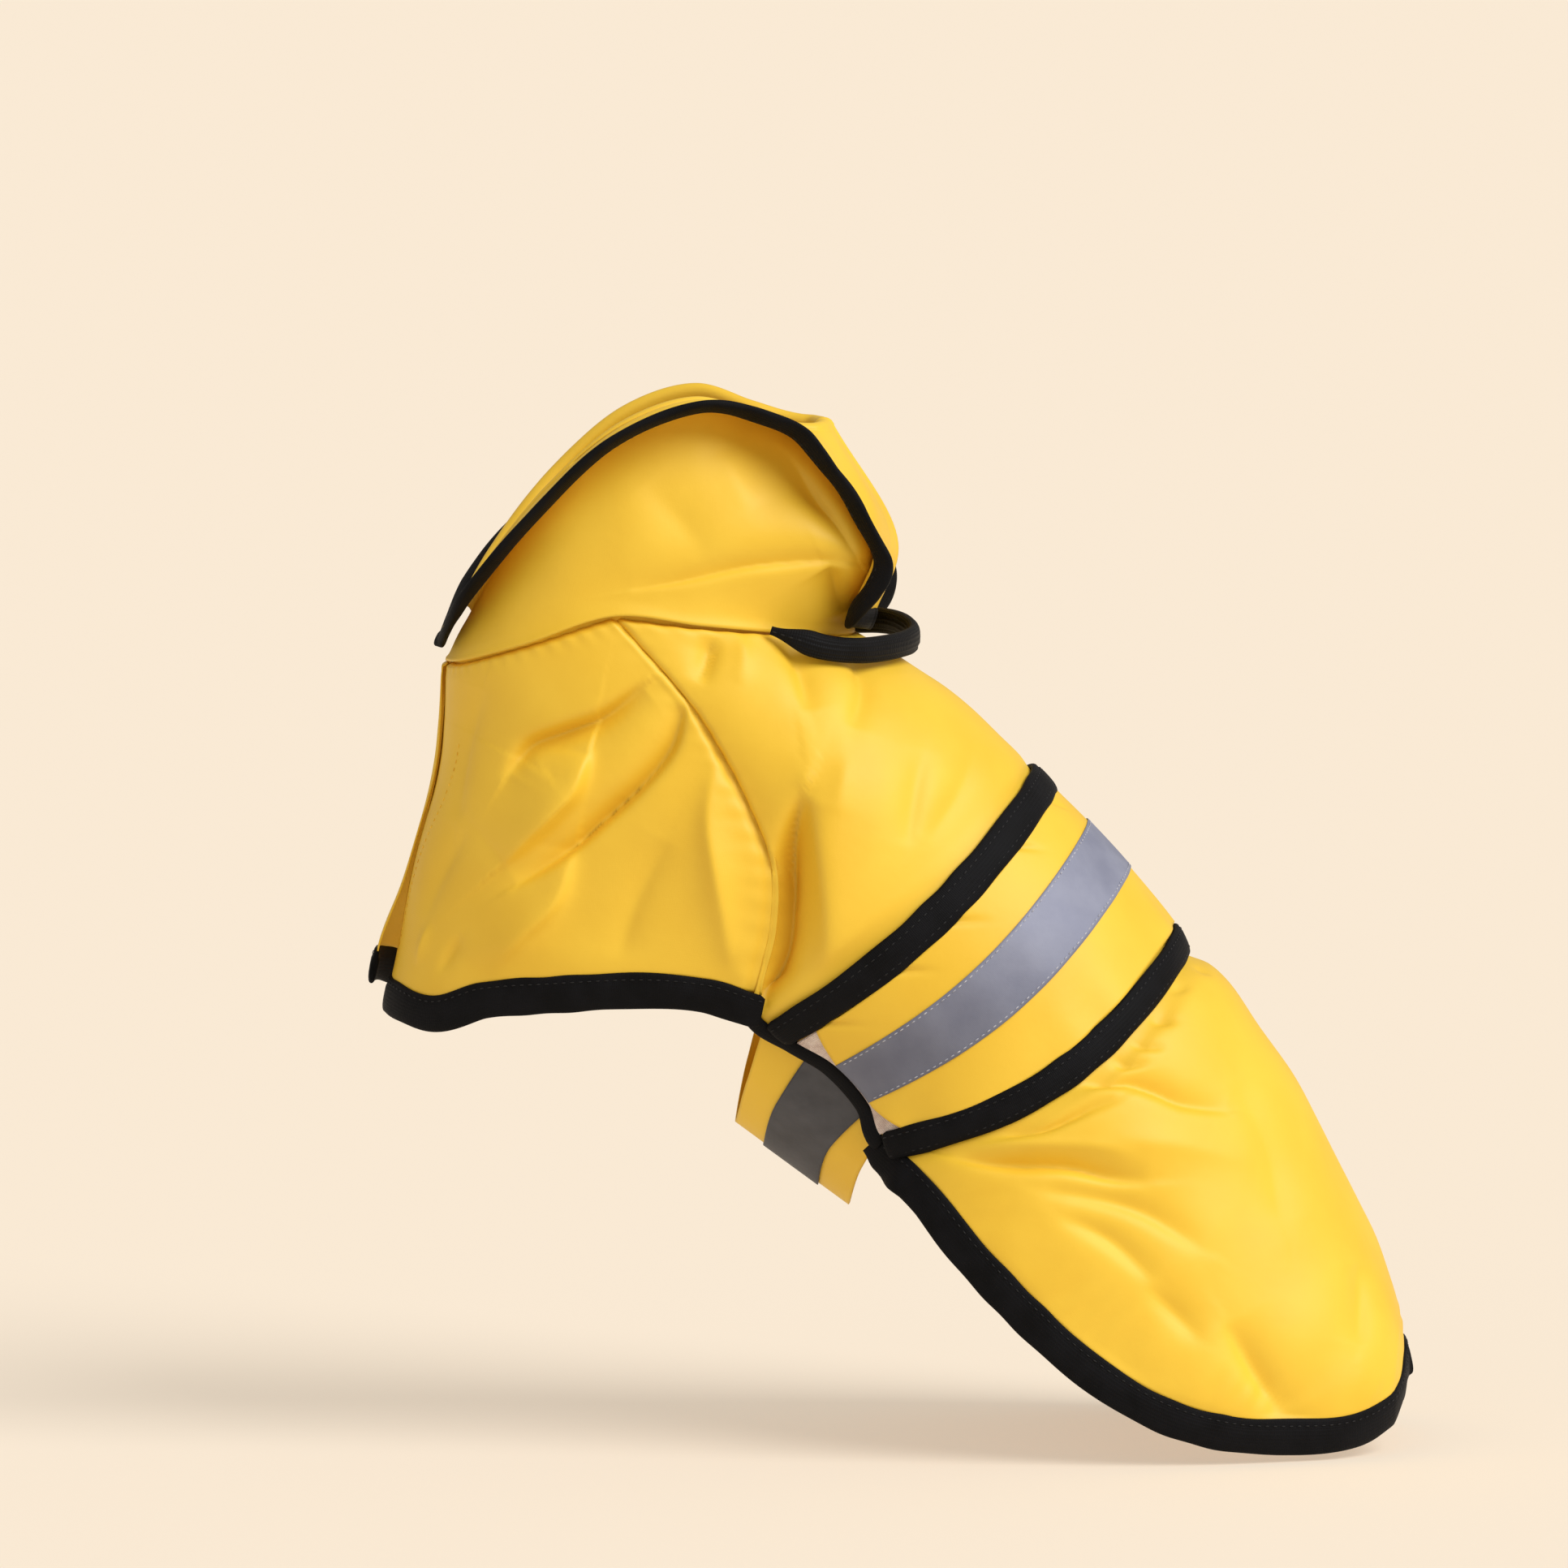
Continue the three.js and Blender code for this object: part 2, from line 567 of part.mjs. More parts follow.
// The strap's middle lies under the panel's wall by its own wall, its tape and the play between
const STRAP_LOW = -1.5 * CLOTH - 3.2 * SEAM_GAP - TAPE_WALL;

function strapPath(share) {
  const s = lerp(beltStart + STRAP_START, backStation('belt rear') + STRAP_END, share);
  const sideX = lerp(STRAP_FRONT.side[0], STRAP_REAR.side[0], share);
  const sideZ = lerp(STRAP_FRONT.side[1], STRAP_REAR.side[1], share);
  const bottomX = lerp(STRAP_FRONT.bottom[0], STRAP_REAR.bottom[0], share);
  const bottomZ = lerp(STRAP_FRONT.bottom[1], STRAP_REAR.bottom[1], share);
  const half = [
    ...STRAP_TUCK.map((t) => back.lifted(s, t, STRAP_LOW)),
    back.lifted(s, -1, STRAP_LOW - STRAP_DROP),
    new THREE.Vector3(sideX, -STRAP_SIDE_HALF, sideZ + VIEW_RISE * STRAP_SIDE_HALF),
    new THREE.Vector3(bottomX, 0, bottomZ),
  ];
  const mirrored = half.slice(0, -1).reverse().map((p) => new THREE.Vector3(p.x, -p.y, p.z));
  return new THREE.CatmullRomCurve3([...half, ...mirrored], false, 'centripetal');
}

function strapGeometry(shares, low, high) {
  const steps = spread(0, 1, STRAP_STEPS);
  const rows = shares.map((share) => {
    const probes = [share - PROBE[0], share, share + PROBE[0]].map(strapPath);
    return steps.map((t) => {
      const [ahead, point, behind] = probes.map((path) => path.getPoint(t));
      const normal = probes[1].getTangent(t).cross(behind.sub(ahead)).normalize();
      return { point, normal };
    });
  });
  const layer = (lift) => rows.map((row) => row
    .map(({ point, normal }) => point.clone().addScaledVector(normal, lift)));
  return wallGeometry(layer(high), layer(low));
}

// Hood and its trim

// Point of the neck seam, just inside the panels' top edges and above them
function neckPoint(round) {
  const [surface, t] = round < THROAT_SHARE
    ? [frontNear, 1 - round / THROAT_SHARE]
    : [back, (round - THROAT_SHARE) / (1 - THROAT_SHARE) - 1];
  const outward = surface.normal(0, t).setZ(0).normalize();
  const point = surface.point(0, t).addScaledVector(outward, -HOOD_CLOTH / 2 - NECK_PLAY);
  return point.setZ(point.z + SEAM_GAP + NECK_PLAY);
}

function hoodProfile(row) {
  const angle = THREE.MathUtils.degToRad(row.faces);
  const out = new THREE.Vector3(Math.cos(angle), -Math.sin(angle), 0);
  const rim = raised(row.rim);
  const neck = neckPoint(row.round);
  const onCentreLine = Math.abs(row.mid[1]) < 1;
  if (onCentreLine) neck.y = row.mid[1];
  const fold = spread(0, Math.PI, RIM_TURNS).map((turn) => rim.clone()
    .addScaledVector(out, FOLD_RADIUS * (1 - Math.cos(turn)))
    .setZ(rim.z + FOLD_RADIUS * Math.sin(turn)));
  const funnel = new THREE.CatmullRomCurve3([neck, raised(row.mid), fold[0]]);
  const flap = new THREE.CatmullRomCurve3([fold[RIM_TURNS], raised(row.hang), raised(row.free)]);
  return [
    ...funnel.getPoints(PROFILE_STEPS),
    ...fold.slice(1, -1),
    ...flap.getPoints(PROFILE_STEPS),
  ];
}

function hoodGrid() {
  const profiles = HOOD_ROWS.map(hoodProfile);
  const rounds = spread(0, HOOD_ROWS.length - 1, HOOD_STEPS);
  const columns = profiles[0].map((_, j) => {
    const line = new THREE.CatmullRomCurve3(profiles.map((profile) => profile[j]));
    return rounds.map((k) => line.getPoint(k / (HOOD_ROWS.length - 1)));
  });
  return rounds.map((_, i) => columns.map((column) => column[i]));
}

function gridNormals(grid) {
  const rows = grid.length;
  const columns = grid[0].length;
  return grid.map((line, i) => line.map((_, j) => {
    const along = grid[Math.min(i + 1, rows - 1)][j].clone().sub(grid[Math.max(i - 1, 0)][j]);
    const up = grid[i][Math.min(j + 1, columns - 1)].clone().sub(grid[i][Math.max(j - 1, 0)]);
    const normal = along.cross(up).normalize();
    if (i === 0 || i === rows - 1) normal.setY(0).normalize();
    return normal;
  }));
}

function mirrorGrid(grid) {
  return grid.map((line) => line.map((p) => new THREE.Vector3(p.x, -p.y, p.z)));
}

function hoodPanel(name, side, grid) {
  const normals = gridNormals(grid);
  const layer = (lift) => grid.map((line, i) => line
    .map((p, j) => p.clone().addScaledVector(normals[i][j], lift)));
  const layers = [layer(HOOD_CLOTH / 2), layer(-HOOD_CLOTH / 2)];
  const [outer, inner] = side < 0 ? layers : layers.map(mirrorGrid);
  return cloth(name, wallGeometry(outer, inner));
}

function hoodTrim(grid) {
  const normals = gridNormals(grid);
  const last = grid[0].length - 1;
  const near = grid.map((line, i) => {
    const point = line[last];
    const tangent = grid[Math.min(i + 1, grid.length - 1)][last].clone()
      .sub(grid[Math.max(i - 1, 0)][last]);
    const normal = normals[i][last];
    const past = tangent.cross(normal).normalize();
    if (past.dot(line[last - 1].clone().sub(point)) > 0) past.negate();
    return { point, normal, past };
  });
  const flip = (v) => new THREE.Vector3(v.x, -v.y, v.z);
  const far = near.slice(0, -1).reverse().map((frame) => ({
    point: flip(frame.point),
    normal: flip(frame.normal),
    past: flip(frame.past),
  }));
  return binding('hood_trim', edgeStrip([...near, ...far], HOOD_TRIM_WIDTH,
    -BINDING_WALL / 2, BINDING_WALL / 2, TRIM_GAP));
}

// Lead loop

function leadLoop() {
  const route = LOOP_ROUTE.map((p) => new THREE.Vector3(...p));
  const path = new THREE.CatmullRomCurve3(route, false, 'centripetal');
  const section = new THREE.Shape();
  section.absellipse(0, 0, LOOP_THICKNESS / 2, LOOP_WIDTH / 2, 0, 2 * Math.PI);
  const geometry = new THREE.ExtrudeGeometry(section, {
    steps: LOOP_STEPS, curveSegments: LOOP_SEGMENTS, bevelEnabled: false, extrudePath: path,
  });
  return binding('lead_loop', geometry);
}

const hood = hoodGrid();
const coat = new THREE.Group();
coat.add(
  backPanel(),
  frontPanel('front_left', frontNear, UNDERLAP),
  frontPanel('front_right', frontFar, OVERLAP),
  frontHemBinding('front_hem_binding_left', frontNear, UNDERLAP_BINDING),
  frontHemBinding('front_hem_binding_right', frontFar, OVERLAP),
  sideBinding('side_binding_left', -1),
  sideBinding('side_binding_right', 1),
  skirtBinding(),
  ...beltPieces(),
  hookPatch('hook_patch_left', -1),
  hookPatch('hook_patch_right', 1),
  cloth('belly_strap', strapGeometry(STRAP_SHARES, -CLOTH / 2, CLOTH / 2)),
  tape('belly_tape', strapGeometry(STRAP_SHARES.slice(1, -1), CLOTH / 2 + SEAM_GAP,
    CLOTH / 2 + SEAM_GAP + TAPE_WALL)),
  hoodPanel('hood_left', -1, hood),
  hoodPanel('hood_right', 1, hood),
  hoodTrim(hood),
  leadLoop(),
);

export default coat;
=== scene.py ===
# %% [markdown]
# # A pet raincoat, cut piece by cut piece
#
# The real coat is thin polyester with a shiny waterproof coating, cut into a dozen panels and
# bands and bound in black. It is shown in the shape that it takes when worn, hollow inside. The
# fixed model is loaded first: it says where every piece lies, and every piece made below stands
# for one of its nodes.

# %% Loading the fixed model
import math

import bmesh
import bpy
import numpy as np
from mathutils import Matrix, Vector


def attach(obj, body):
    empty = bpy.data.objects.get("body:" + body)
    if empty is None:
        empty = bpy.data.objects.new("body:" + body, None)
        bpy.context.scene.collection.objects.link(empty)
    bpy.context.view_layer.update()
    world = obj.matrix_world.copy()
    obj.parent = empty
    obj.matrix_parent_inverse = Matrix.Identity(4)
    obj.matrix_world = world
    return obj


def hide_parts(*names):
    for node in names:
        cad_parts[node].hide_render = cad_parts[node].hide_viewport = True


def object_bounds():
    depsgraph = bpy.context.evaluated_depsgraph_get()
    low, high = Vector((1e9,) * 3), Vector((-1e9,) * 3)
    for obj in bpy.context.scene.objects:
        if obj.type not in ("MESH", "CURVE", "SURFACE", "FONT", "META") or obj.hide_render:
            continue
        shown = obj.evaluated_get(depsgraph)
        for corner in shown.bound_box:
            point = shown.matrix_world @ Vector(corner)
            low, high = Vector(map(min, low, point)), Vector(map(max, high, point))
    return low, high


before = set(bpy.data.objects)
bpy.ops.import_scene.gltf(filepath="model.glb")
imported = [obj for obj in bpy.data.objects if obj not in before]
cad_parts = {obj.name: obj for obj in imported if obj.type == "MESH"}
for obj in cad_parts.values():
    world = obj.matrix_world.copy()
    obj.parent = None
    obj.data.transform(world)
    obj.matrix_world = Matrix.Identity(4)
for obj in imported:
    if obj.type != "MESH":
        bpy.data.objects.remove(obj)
cad_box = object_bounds()
print("nodes:", len(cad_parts), "box:", [[round(c, 3) for c in p] for p in cad_box])

# %% [markdown]
# ## Camera, floor and light
#
# The photograph looks at the coat's left side from a little above, through a long lens. The
# tables below are in millimetres, and MM turns them into metres. The floor is wide enough to fill
# the picture, and two soft suns light it evenly, which gives the plain pale ground of a product
# photograph. It glows a little, as a light table does, which keeps the coat's shadow faint.

# %% The camera
MM = 0.001
FRAME_WIDTH = 579.6 * MM
FRAME_CENTRE = Vector((-49.2 * MM, 0, -41.0 * MM))
CAMERA_RISE = math.radians(5.5)
CAMERA_DISTANCE = 7.0


def new_object(name, data):
    """An object linked into the scene."""
    made = bpy.data.objects.new(name, data)
    bpy.context.scene.collection.objects.link(made)
    return made


camera = new_object("camera", bpy.data.cameras.new("camera"))
back_off = Vector((0, -math.cos(CAMERA_RISE), math.sin(CAMERA_RISE)))
camera.location = FRAME_CENTRE + back_off * CAMERA_DISTANCE
camera.rotation_euler = (-back_off).to_track_quat("-Z", "Y").to_euler()
camera.data.sensor_width = 36
camera.data.sensor_fit = "HORIZONTAL"
camera.data.lens = camera.data.sensor_width * CAMERA_DISTANCE / FRAME_WIDTH
camera.data.clip_end = 200
bpy.context.scene.camera = camera
print("lens in mm:", round(camera.data.lens))


# %% Nodes for materials, a helper used by every finish
def add(tree, kind, inputs=None, **settings):
    """A new shader node with its settings. An input is a value or another node's output."""
    node = tree.nodes.new("ShaderNode" + kind)
    for key, value in settings.items():
        setattr(node, key, value)
    for key, value in (inputs or {}).items():
        if isinstance(value, bpy.types.NodeSocket):
            tree.links.new(value, node.inputs[key])
        else:
            node.inputs[key].default_value = value
    return node


def object_place(tree):
    """Where a point lies on the piece, in metres, the same from every side."""
    return add(tree, "TexCoord").outputs["Object"]


def finish(name, **sockets):
    """A material with a Principled shader whose plain sockets are set directly."""
    material = bpy.data.materials.new(name)
    material.use_nodes = True
    shader = material.node_tree.nodes["Principled BSDF"]
    for key, value in sockets.items():
        shader.inputs[key.replace("_", " ")].default_value = value
    return material, material.node_tree, shader


# %% Floor and lights
FLOOR_RADIUS = 60
floor_mesh = bmesh.new()
bmesh.ops.create_circle(floor_mesh, cap_ends=True, segments=64, radius=FLOOR_RADIUS)
bmesh.ops.translate(floor_mesh, vec=(0, 0, cad_box[0].z - 0.002), verts=floor_mesh.verts)
floor_data = bpy.data.meshes.new("floor")
floor_mesh.to_mesh(floor_data)
floor_mesh.free()
floor = new_object("floor", floor_data)
floor_finish, _, _ = finish("pale floor", Base_Color=(0.46, 0.4, 0.325, 1), Roughness=0.9,
                            Specular_IOR_Level=0.1, Emission_Color=(0.95, 0.83, 0.68, 1),
                            Emission_Strength=0.5)
floor.data.materials.append(floor_finish)

world = bpy.data.worlds.new("studio")
world.use_nodes = True
background = world.node_tree.nodes["Background"]
background.inputs["Color"].default_value = (1.0, 0.93, 0.85, 1)
background.inputs["Strength"].default_value = 0.44
bpy.context.scene.world = world
bpy.context.scene.view_settings.view_transform = "Standard"


def sun(name, towards, strength, softness):
    light = new_object(name, bpy.data.lights.new(name, "SUN"))
    light.data.energy = strength
    light.data.angle = math.radians(softness)
    light.rotation_euler = Vector(towards).to_track_quat("Z", "Y").to_euler()


sun("key", (0.66, -0.48, 0.72), 2.75, 42)
sun("fill", (-0.75, -0.6, 0.35), 0.2, 60)
print("floor and lights are set")

# %% [markdown]
# ## The finishes
#
# Six finishes cover the coat, and three more its threads. The yellow cloth has a fine plain weave
# under a thin glossy coating, and its colour drifts a little, because it was folded in a bag. Each
# weave reads the piece's own UV map, which is in metres along the cloth, so it follows every fold.

# %% What a finish is made of
WAVE_PERIOD = 0.314


def weave(tree, pitch, strength, distance):
    """Warp and weft threads as a bump, from the piece's own UV map in metres."""
    uv = add(tree, "UVMap", uv_map="UVMap").outputs["UV"]
    wave = {"Vector": uv, "Scale": WAVE_PERIOD / pitch, "Distortion": 0.6, "Detail": 1.0,
            "Detail Scale": 2.0}
    warp = add(tree, "TexWave", wave, bands_direction="X").outputs["Fac"]
    weft = add(tree, "TexWave", wave, bands_direction="Y").outputs["Fac"]
    both = add(tree, "Math", {0: warp, 1: weft}, operation="MAXIMUM")
    return add(tree, "Bump", {"Strength": strength, "Distance": distance,
                              "Height": both.outputs[0]})


def crinkle(tree, bump, scale, strength, distance):
    """Small soft unevenness on top of another bump."""
    grain = add(tree, "TexNoise", {"Vector": object_place(tree), "Scale": scale, "Detail": 4.0,
                                   "Roughness": 0.45})
    return add(tree, "Bump", {"Strength": strength, "Distance": distance,
                              "Height": grain.outputs["Fac"], "Normal": bump.outputs["Normal"]})


def drift(tree, shader, scale, low, high):
    """The colour drifts slowly between two near shades of it."""
    cloud = add(tree, "TexNoise", {"Vector": object_place(tree), "Scale": scale, "Detail": 3.0})
    ramp = add(tree, "ValToRGB", {"Fac": cloud.outputs["Fac"]})
    ends = ramp.color_ramp.elements
    ends[0].position, ends[1].position = 0.35, 0.65
    ends[0].color, ends[1].color = (*low, 1), (*high, 1)
    tree.links.new(ramp.outputs["Color"], shader.inputs["Base Color"])
    return cloud.outputs["Fac"]


def uneven_roughness(tree, shader, cloud, low, high):
    """Roughness that follows the same clouds as the colour."""
    spread = add(tree, "MapRange", {"Value": cloud, "To Min": low, "To Max": high})
    tree.links.new(spread.outputs["Result"], shader.inputs["Roughness"])


def paint_shade_below(material, low, high, darkest_painted_shade):
    """Painted shade: the colour darkens by height, towards where the tape turns under."""
    tree = material.node_tree
    base = tree.nodes["Principled BSDF"].inputs["Base Color"]
    axes = add(tree, "SeparateXYZ", {0: object_place(tree)})
    shade_by_height = add(tree, "MapRange", {"Value": axes.outputs["Z"], "From Min": low, "From Max": high,
                                  "To Min": darkest_painted_shade})
    painted_shade = add(tree, "VectorMath", {0: base.links[0].from_socket, "Scale": shade_by_height.outputs["Result"]},
              operation="SCALE")
    tree.links.new(painted_shade.outputs["Vector"], base)


def woven(name, clouds, shades, roughness, threads, crinkles, **sockets):
    """A finish whose colour and roughness drift in clouds, with a weave and a little crinkle."""
    material, tree, shader = finish(name, **sockets)
    cloud = drift(tree, shader, clouds, *shades)
    uneven_roughness(tree, shader, cloud, *roughness)
    bumped = crinkle(tree, weave(tree, *threads), *crinkles)
    tree.links.new(bumped.outputs["Normal"], shader.inputs["Normal"])
    return material


# %% The yellow cloth and the black binding and webbing
yellow = woven("yellow coated cloth", clouds=22, roughness=(0.46, 0.6),
               shades=((0.80, 0.495, 0.028), (0.85, 0.545, 0.038)),
               threads=(0.45 * MM, 0.25, 0.05 * MM), crinkles=(260, 0.2, 0.4 * MM),
               Specular_IOR_Level=0.42, Coat_Weight=0.03, Coat_Roughness=0.4)
black = woven("black binding", clouds=90, roughness=(0.5, 0.75),
              shades=((0.002, 0.002, 0.0025), (0.0048, 0.0048, 0.006)),
              threads=(0.7 * MM, 0.6, 0.15 * MM), crinkles=(420, 0.35, 0.4 * MM),
              Specular_IOR_Level=0.1, Sheen_Weight=0.004, Sheen_Roughness=0.5)
webbing = woven("black webbing", clouds=70, roughness=(0.42, 0.62),
                shades=((0.0022, 0.0022, 0.0026), (0.0055, 0.0055, 0.0065)),
                threads=(0.9 * MM, 0.8, 0.25 * MM), crinkles=(300, 0.3, 0.5 * MM),
                Specular_IOR_Level=0.11, Sheen_Weight=0.004, Sheen_Roughness=0.45)
print("made", yellow.name, "and", black.name, "and", webbing.name)

# %% Tapes and threads
TAPE = dict(clouds=60, roughness=(0.5, 0.64), threads=(0.5 * MM, 0.3, 0.05 * MM),
            crinkles=(500, 0.2, 0.3 * MM), Metallic=0.15, Specular_IOR_Level=0.35)
PAINTED_SHADE_HEIGHTS = (-134 * MM, -86 * MM)
reflective = woven("reflective tape", shades=((0.215, 0.228, 0.31), (0.262, 0.276, 0.36)), **TAPE)
# Painted shade: the reflective tape's colour darkens by height towards its lower edge.
paint_shade_below(reflective, *PAINTED_SHADE_HEIGHTS, darkest_painted_shade=0.62)
# Painted shade: the belly tape is a darker copy of the reflective tape, standing for the shade under
# the belly.
belly_tape_painted_shade = woven("belly tape in painted shade", shades=((0.055, 0.056, 0.064), (0.085, 0.086, 0.098)), **TAPE)
hook = woven("cream hook tape", clouds=300, roughness=(0.7, 0.9),
             shades=((0.66, 0.52, 0.46), (0.82, 0.7, 0.63)),
             threads=(0.8 * MM, 0.8, 0.3 * MM), crinkles=(900, 0.6, 0.5 * MM),
             Specular_IOR_Level=0.3)


def thread_finish(name, low, high):
    """Sewing thread, in two shades."""
    thread, tree, shader = finish(name, Specular_IOR_Level=0.25, Sheen_Weight=0.05)
    cloud = drift(tree, shader, 500, low, high)
    uneven_roughness(tree, shader, cloud, 0.5, 0.7)
    return thread


yellow_thread = thread_finish("yellow thread", (0.7, 0.36, 0.012), (0.95, 0.62, 0.08))
black_thread = thread_finish("black thread", (0.006, 0.006, 0.007), (0.012, 0.012, 0.014))
grey_thread = thread_finish("grey thread", (0.33, 0.34, 0.4), (0.5, 0.5, 0.55))
print("finishes:", len(bpy.data.materials))

# %% [markdown]
# ## The tables
#
# The coat's form is written down as a tailor's table: for each section along the back, where its
# middle and its free edge lie when the coat is seen from the side, how wide it is, how far round
# the body it reaches and how far it sags. These are the same tables that the fixed model was made
# from. A smooth curve through each column gives the cloth between the rows.

# %% Table of the back panel
COLUMNS = ("top_x", "top_z", "edge_x", "edge_z", "half", "wrap", "bow")
BACK_ROWS = {
    "neck": (-24, 16, -111.5, 20.4, 54, 97, 0),
    "collar slope": (-9.3, 8.1, -85.8, -9.3, 62, 102, 0),
    "withers": (2.7, 0, -72, -31.2, 67, 106, 0),
    "shoulder": (11.7, -6.3, -62.7, -49.5, 71, 109, 1),
    "shoulder point": (21.3, -14.1, -54.9, -71.1, 74, 112, 2),
    "ribs": (31.5, -24, -55.2, -94.8, 75, 116, 4),
    "seam end": (38.1, -30.6, -60.6, -118.5, 75, 120, 5),
    "belt start": (42, -36, -57.6, -128, 73.5, 124, 6),
    "belt cloth": (49.6, -44.3, -45, -136, 72, 127, 6),
    "tape start": (61.3, -56, -31, -144.5, 72, 128, 7),
    "tape end": (77.1, -73.3, -18.5, -158.5, 72, 128, 8),
    "belt rear": (93.3, -93.9, -14.2, -170.5, 73, 126, 11.5),
    "belt end": (99.2, -104, -6.6, -177.5, 74, 123, 11.5),
    "puff": (108.5, -108.5, 0, -183, 80, 119, 10),
    "croup": (116, -115.5, 7.5, -191, 83, 112, 7.5),
    "haunch": (126.5, -131, 22.2, -209.7, 86, 104, 4),
    "thigh": (139.5, -149.1, 46.8, -235.5, 87, 97, 2),
    "skirt": (148.5, -166, 68.1, -253.8, 87, 93, 1),
    "skirt mid": (156.6, -181.8, 91.2, -267.6, 86, 90, 0),
    "skirt rear": (163.8, -196.2, 114, -274.5, 82, 90, 0),
    "rump": (170.4, -209.7, 137.1, -276, 74, 90, 0),
    "tail": (175.3, -223.5, 159.5, -274.5, 64, 90, 0),
    "tail corner": (178.8, -235.4, 174.5, -267, 48, 90, 0),
    "tail turn": (180, -242.3, 179, -258.5, 31, 90, 0),
    "tail end": (180.4, -247, 180.4, -251, 14, 90, 0),
}
BACK = dict(zip(COLUMNS, np.array(list(BACK_ROWS.values()), dtype=float).T))
top_step = np.hypot(np.diff(BACK["top_x"]), np.diff(BACK["top_z"]))
edge_step = np.hypot(np.diff(BACK["edge_x"]), np.diff(BACK["edge_z"]))
STATIONS = np.concatenate([[0], np.cumsum((top_step + edge_step) / 2)])
STATION = dict(zip(BACK_ROWS, STATIONS))
NECK, TAIL, SEAM_END = STATION["neck"], STATION["tail end"], STATION["seam end"]
print("back panel, neck to tail along the cloth:", round(TAIL), "mm")


# %% Smooth curves through table rows
def through(stations, values, s):
    """Cubic pieces through the rows, each row's slope taken from its neighbours."""
    x, v, s = (np.asarray(a, dtype=float) for a in (stations, values, s))
    rows = np.arange(len(x))
    before, after = np.maximum(rows - 1, 0), np.minimum(rows + 1, len(x) - 1)
    slope = (v[after] - v[before]) / (x[after] - x[before])
    i = np.clip(np.searchsorted(x, s) - 1, 0, len(x) - 2)
    span = x[i + 1] - x[i]
    u = (s - x[i]) / span
    rise = 3 * u**2 - 2 * u**3
    return (v[i] * (1 - rise) + v[i + 1] * rise
            + slope[i] * span * (u**3 - 2 * u**2 + u) + slope[i + 1] * span * (u**3 - u**2))


def curve(points, count):
    """count points on a smooth curve through points, evenly shared between them."""
    p = np.asarray(points, dtype=float)
    full = np.concatenate([[2 * p[0] - p[1]], p, [2 * p[-1] - p[-2]]])
    place_at = np.linspace(0, len(p) - 1, count)
    i = np.minimum(place_at.astype(int), len(p) - 2)
    u = (place_at - i)[:, None]
    p0, p1, p2, p3 = (full[i + k] for k in range(4))
    d0, d1, d2 = (np.maximum(np.linalg.norm(b - a, axis=1, keepdims=True) ** 0.5, 1e-4)
                  for a, b in ((p0, p1), (p1, p2), (p2, p3)))
    m1 = ((p1 - p0) / d0 - (p2 - p0) / (d0 + d1) + (p2 - p1) / d1) * d1
    m2 = ((p2 - p1) / d1 - (p3 - p1) / (d1 + d2) + (p3 - p2) / d2) * d1
    rise = 3 * u**2 - 2 * u**3
    return p1 * (1 - rise) + p2 * rise + m1 * (u**3 - 2 * u**2 + u) + m2 * (u**3 - u**2)


def smooth(x, low, high):
    """0 below low, 1 above high and an easy change between them."""
    u = np.clip((np.asarray(x, dtype=float) - low) / (high - low), 0, 1)
    return u * u * (3 - 2 * u)


def bell(x, width):
    """1 where x is 0, falling away on both sides over about the width."""
    return np.exp(-((x / width) ** 2))


def unit(v):
    return v / np.maximum(np.linalg.norm(v, axis=-1, keepdims=True), 1e-12)


print("half width at the ribs:", through(STATIONS, BACK["half"], STATION["ribs"]))

# %% [markdown]
# ## Folds
#
# Each fold is drawn on the side view, as the photograph shows it: a line, a width to the left and
# right of it, and a depth that swells and dies out along it. Coated polyester doesn't drape in
# soft waves: it buckles, with a tight line at the bottom or top of each fold and easy slopes beside
# it. So a fold's profile is a rounded point. The far side has the same folds, moved a little.

# %% Fold helpers
VIEW_RISE = math.tan(CAMERA_RISE)
POINT_ROUNDING = 0.28
FALL_OFF = 1.7
FAR_FROM_FOLD = 4


def fold_at(fold, x, z):
    """Depth of one fold at points of the side view, from the nearest place on its line."""
    line, (left, right), depth = fold
    line = curve(line, 4 * len(line))
    steps = np.linalg.norm(np.diff(line, axis=0), axis=1)
    start = (np.cumsum(steps) - steps) / steps.sum()
    beside = FAR_FROM_FOLD * max(left, right)
    low, high = line.min(axis=0) - beside, line.max(axis=0) + beside
    near = (x > low[0]) & (x < high[0]) & (z > low[1]) & (z < high[1])
    total = np.zeros(np.shape(x))
    x, z = x[near], z[near]
    best = np.full(x.shape, np.inf)
    result = np.zeros(x.shape)
    for a, b, step, begin in zip(line[:-1], line[1:], steps, start):
        way = (b - a) / step
        along = np.clip((x - a[0]) * way[0] + (z - a[1]) * way[1], 0, step)
        off_x, off_z = x - a[0] - along * way[0], z - a[1] - along * way[1]
        away = np.hypot(off_x, off_z)
        reach = away / np.where(way[0] * off_z - way[1] * off_x > 0, left, right)
        share = begin + along / steps.sum()
        swell = np.sin(np.pi * (0.03 + 0.94 * share)) ** 0.7
        value = swell * np.exp(-FALL_OFF * (np.hypot(reach, POINT_ROUNDING) - POINT_ROUNDING))
        result = np.where(away < best, value, result)
        best = np.minimum(away, best)
    total[near] = depth * result
    return total


RIPPLES = ((0.071, 0.043, 0.02, 0.4), (-0.052, 0.118, 0.05, 0.28), (0.163, 0.087, -0.04, 0.14),
           (0.115, -0.142, 0.08, 0.12))


def rippled(x, y, z):
    """Slow unevenness that no table of folds holds."""
    total = 0
    for k, (along, up, across, depth) in enumerate(RIPPLES):
        bend = 1.3 * np.sin(0.023 * x - 0.017 * z + 1.9 * k)
        total = total + depth * np.sin(along * x + up * z + across * y + bend + 2.1 * k)
    return total


